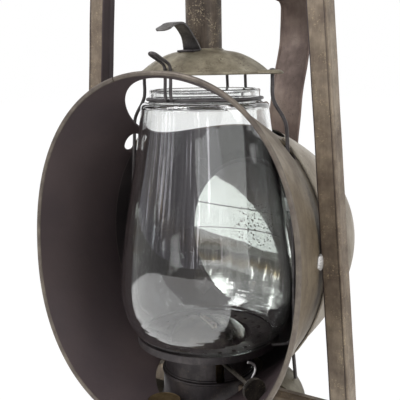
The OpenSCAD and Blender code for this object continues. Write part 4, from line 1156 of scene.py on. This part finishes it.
round_back = [(BACK_SIDE * math.cos(a), BACK_DEPTH * math.sin(a), BACK_HEIGHT)
              for a in [math.pi * i / 28 for i in range(29)]]
hooks = [(side * (BACK_SIDE - 0.0012), -0.0028, BACK_HEIGHT) for side in (1, -1)]
back_wire = bent_wire(hooks[:1] + round_back + hooks[1:], BACK_WIRE, sides=3, steps=4)
finished(back_wire, "guard_at_back", "lift", dark_wire, "back_guard_wire", 60)


# Globe plate: a pressed plate with a rim round the globe's foot, a ring of air holes, and a skirt
# that drops over the burner's collar and rests on a bead. Dark, sooty tinplate.
PLATE_FLOOR = 0.0969
PLATE_FOOT = 0.0944
PLATE_SHEET = 0.0008
PLATE_EDGE = 0.0004
SKIRT_RADIUS = 0.031
SKIRT_LOW = 0.0670
AIR_HOLES = 24
AIR_HOLE_RING = 0.037
AIR_HOLE_RADIUS = 0.0015
NOTCH_TOP = 0.0917
skirt_in = SKIRT_RADIUS - PLATE_SHEET
rim_in = PLATE_RADIUS - PLATE_SHEET
rim_middle = PLATE_RADIUS - PLATE_EDGE
plate = spun([(skirt_in, SKIRT_LOW), (SKIRT_RADIUS, SKIRT_LOW), (SKIRT_RADIUS, COLLAR_TOP + 0.0002)]
             + arc((SKIRT_RADIUS + 0.0003, COLLAR_TOP + 0.0008), 0.0007, -math.pi / 2, math.pi / 2, 6)
             + [(SKIRT_RADIUS, COLLAR_TOP + 0.0016), (SKIRT_RADIUS, PLATE_FLOOR - 0.0022)]
             + arc((SKIRT_RADIUS + 0.0022, PLATE_FLOOR - 0.0022), 0.0022, math.pi, math.pi / 2, 5)
             + beside(PLATE_RADIUS, PLATE_FLOOR, (-0.0062, 0), (-0.0052, -0.0006), (-0.0040, -0.0006),
                      (-0.0012, 0), (-PLATE_SHEET, -0.0008))
             + arc((rim_middle, PLATE_FOOT), PLATE_EDGE, math.pi, 2 * math.pi, 5)
             + [(PLATE_RADIUS, PLATE_FLOOR + 0.0014)]
             + arc((rim_middle, PLATE_FLOOR + 0.0018), PLATE_EDGE, 0, math.pi, 5)
             + [(rim_in, PLATE_FLOOR + PLATE_SHEET), (skirt_in, PLATE_FLOOR + PLATE_SHEET)])
punches = [round_cutter(x, y, PLATE_FLOOR - 0.003, PLATE_FLOOR + 0.003, AIR_HOLE_RADIUS, 16)
           for x, y in arc((0, 0), AIR_HOLE_RING, 0, math.tau, AIR_HOLES)[:-1]]
cut_away(plate, joined(punches))
notch = box_cutter((SKIRT_RADIUS - 0.004, SHAFT_OFFSET - 0.003, 0.060),
                   (SKIRT_RADIUS + 0.004, SHAFT_OFFSET + 0.003, NOTCH_TOP))
notch.matrix_world = burner_turned @ notch.matrix_world
cut_away(plate, notch)
finished(plate, "globe_dish", "lift", dark_tin, "globe_plate")


# Globe: a tall globe of clear blown glass, faintly green, with a rolled lip, a shoulder under the
# neck and a belly low down. Its wall is a little uneven, and rippled near the foot.
GLOBE_FOOT = 0.098
GLOBE_TOP = 0.269
FOOT_RADIUS = 0.048
NECK_RADIUS = 0.0372
SHOULDER_RADIUS = 0.0436
BELLY_RADIUS = 0.0607
BELLY_RISE = 0.033
GLASS = 0.0024
LIP_RADIUS = 0.0014


def clear_glass():
    material, tree, shader, spot = new_material("globe_glass")
    pulled = added(tree, "Mapping", spot, Scale=(1, 1, 0.45))[0]
    waves = added(tree, "TexNoise", Vector=pulled, Scale=55, Detail=2, Roughness=0.4)["Fac"]
    uneven = added(tree, "Bump", Height=waves, Strength=0.10, Distance=0.0012)[0]
    ringed = added(tree, "Mapping", spot, Scale=(9, 9, 240))[0]
    ripples = added(tree, "TexNoise", Vector=ringed, Scale=1.0, Detail=1, Roughness=0.4)["Fac"]
    low = added(tree, "MapRange", added(tree, "SeparateXYZ", spot)["Z"], From_Min=GLOBE_FOOT + 0.013,
                From_Max=GLOBE_FOOT + 0.027, To_Min=0.75, To_Max=0.0)[0]
    rippled = added(tree, "Bump", Height=ripples, Strength=low, Normal=uneven, Distance=0.0011)[0]
    fed(tree, shader, Base_Color=(0.985, 0.995, 0.988, 1), Roughness=0.0, IOR=1.47, Transmission_Weight=1.0,
        Coat_Weight=1.0, Coat_Roughness=0.0, Coat_IOR=1.5, Normal=rippled, Coat_Normal=rippled)
    return material


def globe_side(inset):
    lower = curved(*beside(-inset, GLOBE_FOOT, (FOOT_RADIUS, 0.0008), (0.054, 0.006),
                           (BELLY_RADIUS, 0.016), (BELLY_RADIUS, BELLY_RISE)), 16)
    upper = curved(*beside(-inset, GLOBE_FOOT, (BELLY_RADIUS, BELLY_RISE), (BELLY_RADIUS, 0.067),
                           (SHOULDER_RADIUS + 0.0036, 0.120), (SHOULDER_RADIUS, 0.1575)), 30)
    return lower + upper[1:]


neck_out, neck_in = (NECK_RADIUS + 0.0030, GLOBE_TOP - 0.0086), NECK_RADIUS - 0.0026
shoulder = curved(*beside(SHOULDER_RADIUS, GLOBE_TOP, (0, -0.0135), (-0.0001, -0.0100), (-0.0012, -0.0090)),
                  neck_out, 7)
hollow = curved(neck_out, *beside(NECK_RADIUS, GLOBE_TOP, (0.0006, -0.0085), (0, -0.0080), (0, -0.0072)), 5)
lip = arc((NECK_RADIUS - 0.0012, GLOBE_TOP - LIP_RADIUS), LIP_RADIUS, 0.1, math.pi - 0.1, 10)
under = curved(*beside(0, GLOBE_TOP, (neck_in, -0.0100), (NECK_RADIUS - 0.0020, -0.0112),
                       (SHOULDER_RADIUS - GLASS, -0.0112), (SHOULDER_RADIUS - GLASS, -0.0132)), 7)
globe = spun(beside(FOOT_RADIUS, GLOBE_FOOT, (-GLASS, 0), (-0.0010, 0)) + globe_side(0)
             + shoulder[1:] + hollow[1:] + [(NECK_RADIUS, GLOBE_TOP - 0.0030)] + lip
             + beside(neck_in, GLOBE_TOP, (0, -0.0030), (0, -0.0090)) + under + globe_side(GLASS)[::-1], 160)
finished(globe, "glass_globe", "lift", clear_glass(), "globe", 50)


# Neck clip: one springy wire round the globe's neck, whose ends rise through the bell in front as
# a loop, and two short ends behind hook over the bell's edge.
CLIP_HEIGHT = 0.2625
CLIP_WIRE = 0.00105
CLIP_RADIUS = NECK_RADIUS + 0.0004 + CLIP_WIRE
TIP_PLACE = -0.0560
TIP_LIFT = 0.0120
TIP_SLOPE = math.radians(24)
ring_wire = bent_wire([(x, y, CLIP_HEIGHT) for x, y in arc((0, 0), CLIP_RADIUS, 0, math.tau, 36)[:-1]],
                      CLIP_WIRE, True, steps=4)
rise = beside(0, CLIP_HEIGHT, (-CLIP_RADIUS, 0), (-0.0406, 0.0005), (-CLIP_LEG, 0.0022))
rise += beside(0, BELL_HEIGHT, (-CLIP_LEG, -0.004), (-CLIP_LEG, 0.0030), (-0.0426, 0.0056),
               (-0.0450, 0.0072), (-0.0500, 0.0094), (TIP_PLACE, TIP_LIFT))
tip = [(CLIP_LOOP_HALF * math.sin(a), TIP_PLACE - CLIP_LOOP_HALF * math.cos(a) * math.cos(TIP_SLOPE),
        BELL_HEIGHT + TIP_LIFT + CLIP_LOOP_HALF * math.cos(a) * math.sin(TIP_SLOPE))
       for a in [math.radians(30 * i) for i in range(-2, 3)]]
loop_wire = bent_wire([(-CLIP_LOOP_HALF, y, z) for y, z in rise] + tip
                      + [(CLIP_LOOP_HALF, y, z) for y, z in rise[::-1]], CLIP_WIRE)
hook = beside(0, CLIP_HEIGHT, (CLIP_RADIUS * 0.98, 0), (0.0406, 0.0005), (CLIP_LEG, 0.0022))
hook += beside(CLIP_LEG, BELL_HEIGHT, (0, 0.0040), (0.0010, 0.0058), (0.0036, 0.0062))
rear_wires = [bent_wire([(side * CLIP_REAR_HALF, y, z) for y, z in hook], CLIP_WIRE) for side in (-1, 1)]
finished(joined([ring_wire, loop_wire] + rear_wires), "neck_wire", "lift", dark_wire,
         "neck_clip", 60)


# Thumb strip: a springy strip with a round pad, soldered on a small foot on top of the bell. It is
# pressed to tilt the bell back. Nearly black below, rubbed pale on the pad.
THUMB_WIDTH = 0.0095
THUMB_FLARE = 0.0022
THUMB_THICK = 0.0012
THUMB_DISH = 0.0004
THUMB_START = (-0.0142, BELL_HEIGHT + BELL_RISE + 0.001)
PAD_RADIUS = 0.00515
thumb_tin = aged_tin("thumb_tin", (0.040, 0.034, 0.034), (0.085, 0.078, 0.076), (0.170, 0.160, 0.150),
                     (0.300, 0.280, 0.250), metal=0.5, rough=(0.30, 0.50), patch=90, streak=0.2)
thumb_foot = started(bpy.ops.mesh.primitive_cube_add, size=1, location=(0, -0.0182, BELL_CROWN + 0.0004),
                     scale=(0.0135, 0.0075, 0.0014), rotation=(math.radians(5), 0, 0))
bpy.ops.object.transform_apply()
modified(thumb_foot, "BEVEL", width=0.0005, segments=3)
finished(thumb_foot, "thumb_foot", "lift", dark_tin, "catch_foot", 50)
thumb_line = even_steps(beside(
    *THUMB_START, (0.0006, -0.0021), (-0.0022, 0.0033), (-0.0048, 0.0067), (-0.0081, 0.0101),
    (-0.0116, 0.0128), (-0.0156, 0.0144), (-0.0201, 0.0144), (-0.0251, 0.0132), (-0.0301, 0.0112),
    (-0.0349, 0.0093)), 0.0009)


def thumb_point(turn, run):
    (y, z), i = at_share(thumb_line, run)
    ny, nz = outward(thumb_line, i)
    left = math.dist((y, z), thumb_line[-1])
    on_pad = left < 2 * PAD_RADIUS
    half = THUMB_WIDTH / 2 + THUMB_FLARE * max(0.0, 1 - i / 12)
    if on_pad:
        swell = math.sqrt(max(0.0, PAD_RADIUS ** 2 - (PAD_RADIUS - left) ** 2))
        half = swell if left < PAD_RADIUS else max(half, swell)
    across = 2 * turn - 1
    dish = THUMB_DISH * across * across * (1.0 if on_pad else 0.3)
    return across * half, y - ny * dish, z - nz * dish


thumb = shaped_sheet(14, len(thumb_line) - 1, thumb_point, THUMB_THICK, 0)
modified(thumb, "BEVEL", width=0.0002, segments=2, limit_method="ANGLE")
finished(thumb, "thumb_strip", "catch", thumb_tin, "thumb_catch", 50)


# Bail: the carrying handle, one iron wire bent square with round corners. Its ends are turned in
# and swing in the plates on the side tubes. It lies back on the strap when it isn't used.
BAIL_HEIGHT = FRAME_TOP - 0.0192
BAIL_HALF = 0.097
BAIL_REACH = 0.1088
BAIL_WIRE = 0.0017
BAIL_CORNER = 0.045
BAIL_TURN = 0.003
BAIL_ARM = BAIL_REACH - BAIL_CORNER
half_line = [(tube_middle(BAIL_HEIGHT) + TUBE_WIDTH / 2 + 0.0008, 0.0)]
half_line += arc((BAIL_HALF - BAIL_TURN, BAIL_TURN), BAIL_TURN, -math.pi / 2, 0, 6)
half_line += [(BAIL_HALF, BAIL_TURN + (BAIL_ARM - BAIL_TURN) * i / 6) for i in range(1, 7)]
half_line += arc((BAIL_HALF - BAIL_CORNER, BAIL_ARM), BAIL_CORNER, 0, math.pi / 2, 14)[1:]
bail_line = half_line + [(0.0, BAIL_REACH)] + [(-x, y) for x, y in half_line[::-1]]
bail = bent_wire([(x, TUBE_MIDDLE + y, BAIL_HEIGHT) for x, y in bail_line], BAIL_WIRE, sides=5, steps=4)
finished(bail, "bail_handle", "bail", dark_wire, "bail", 60)
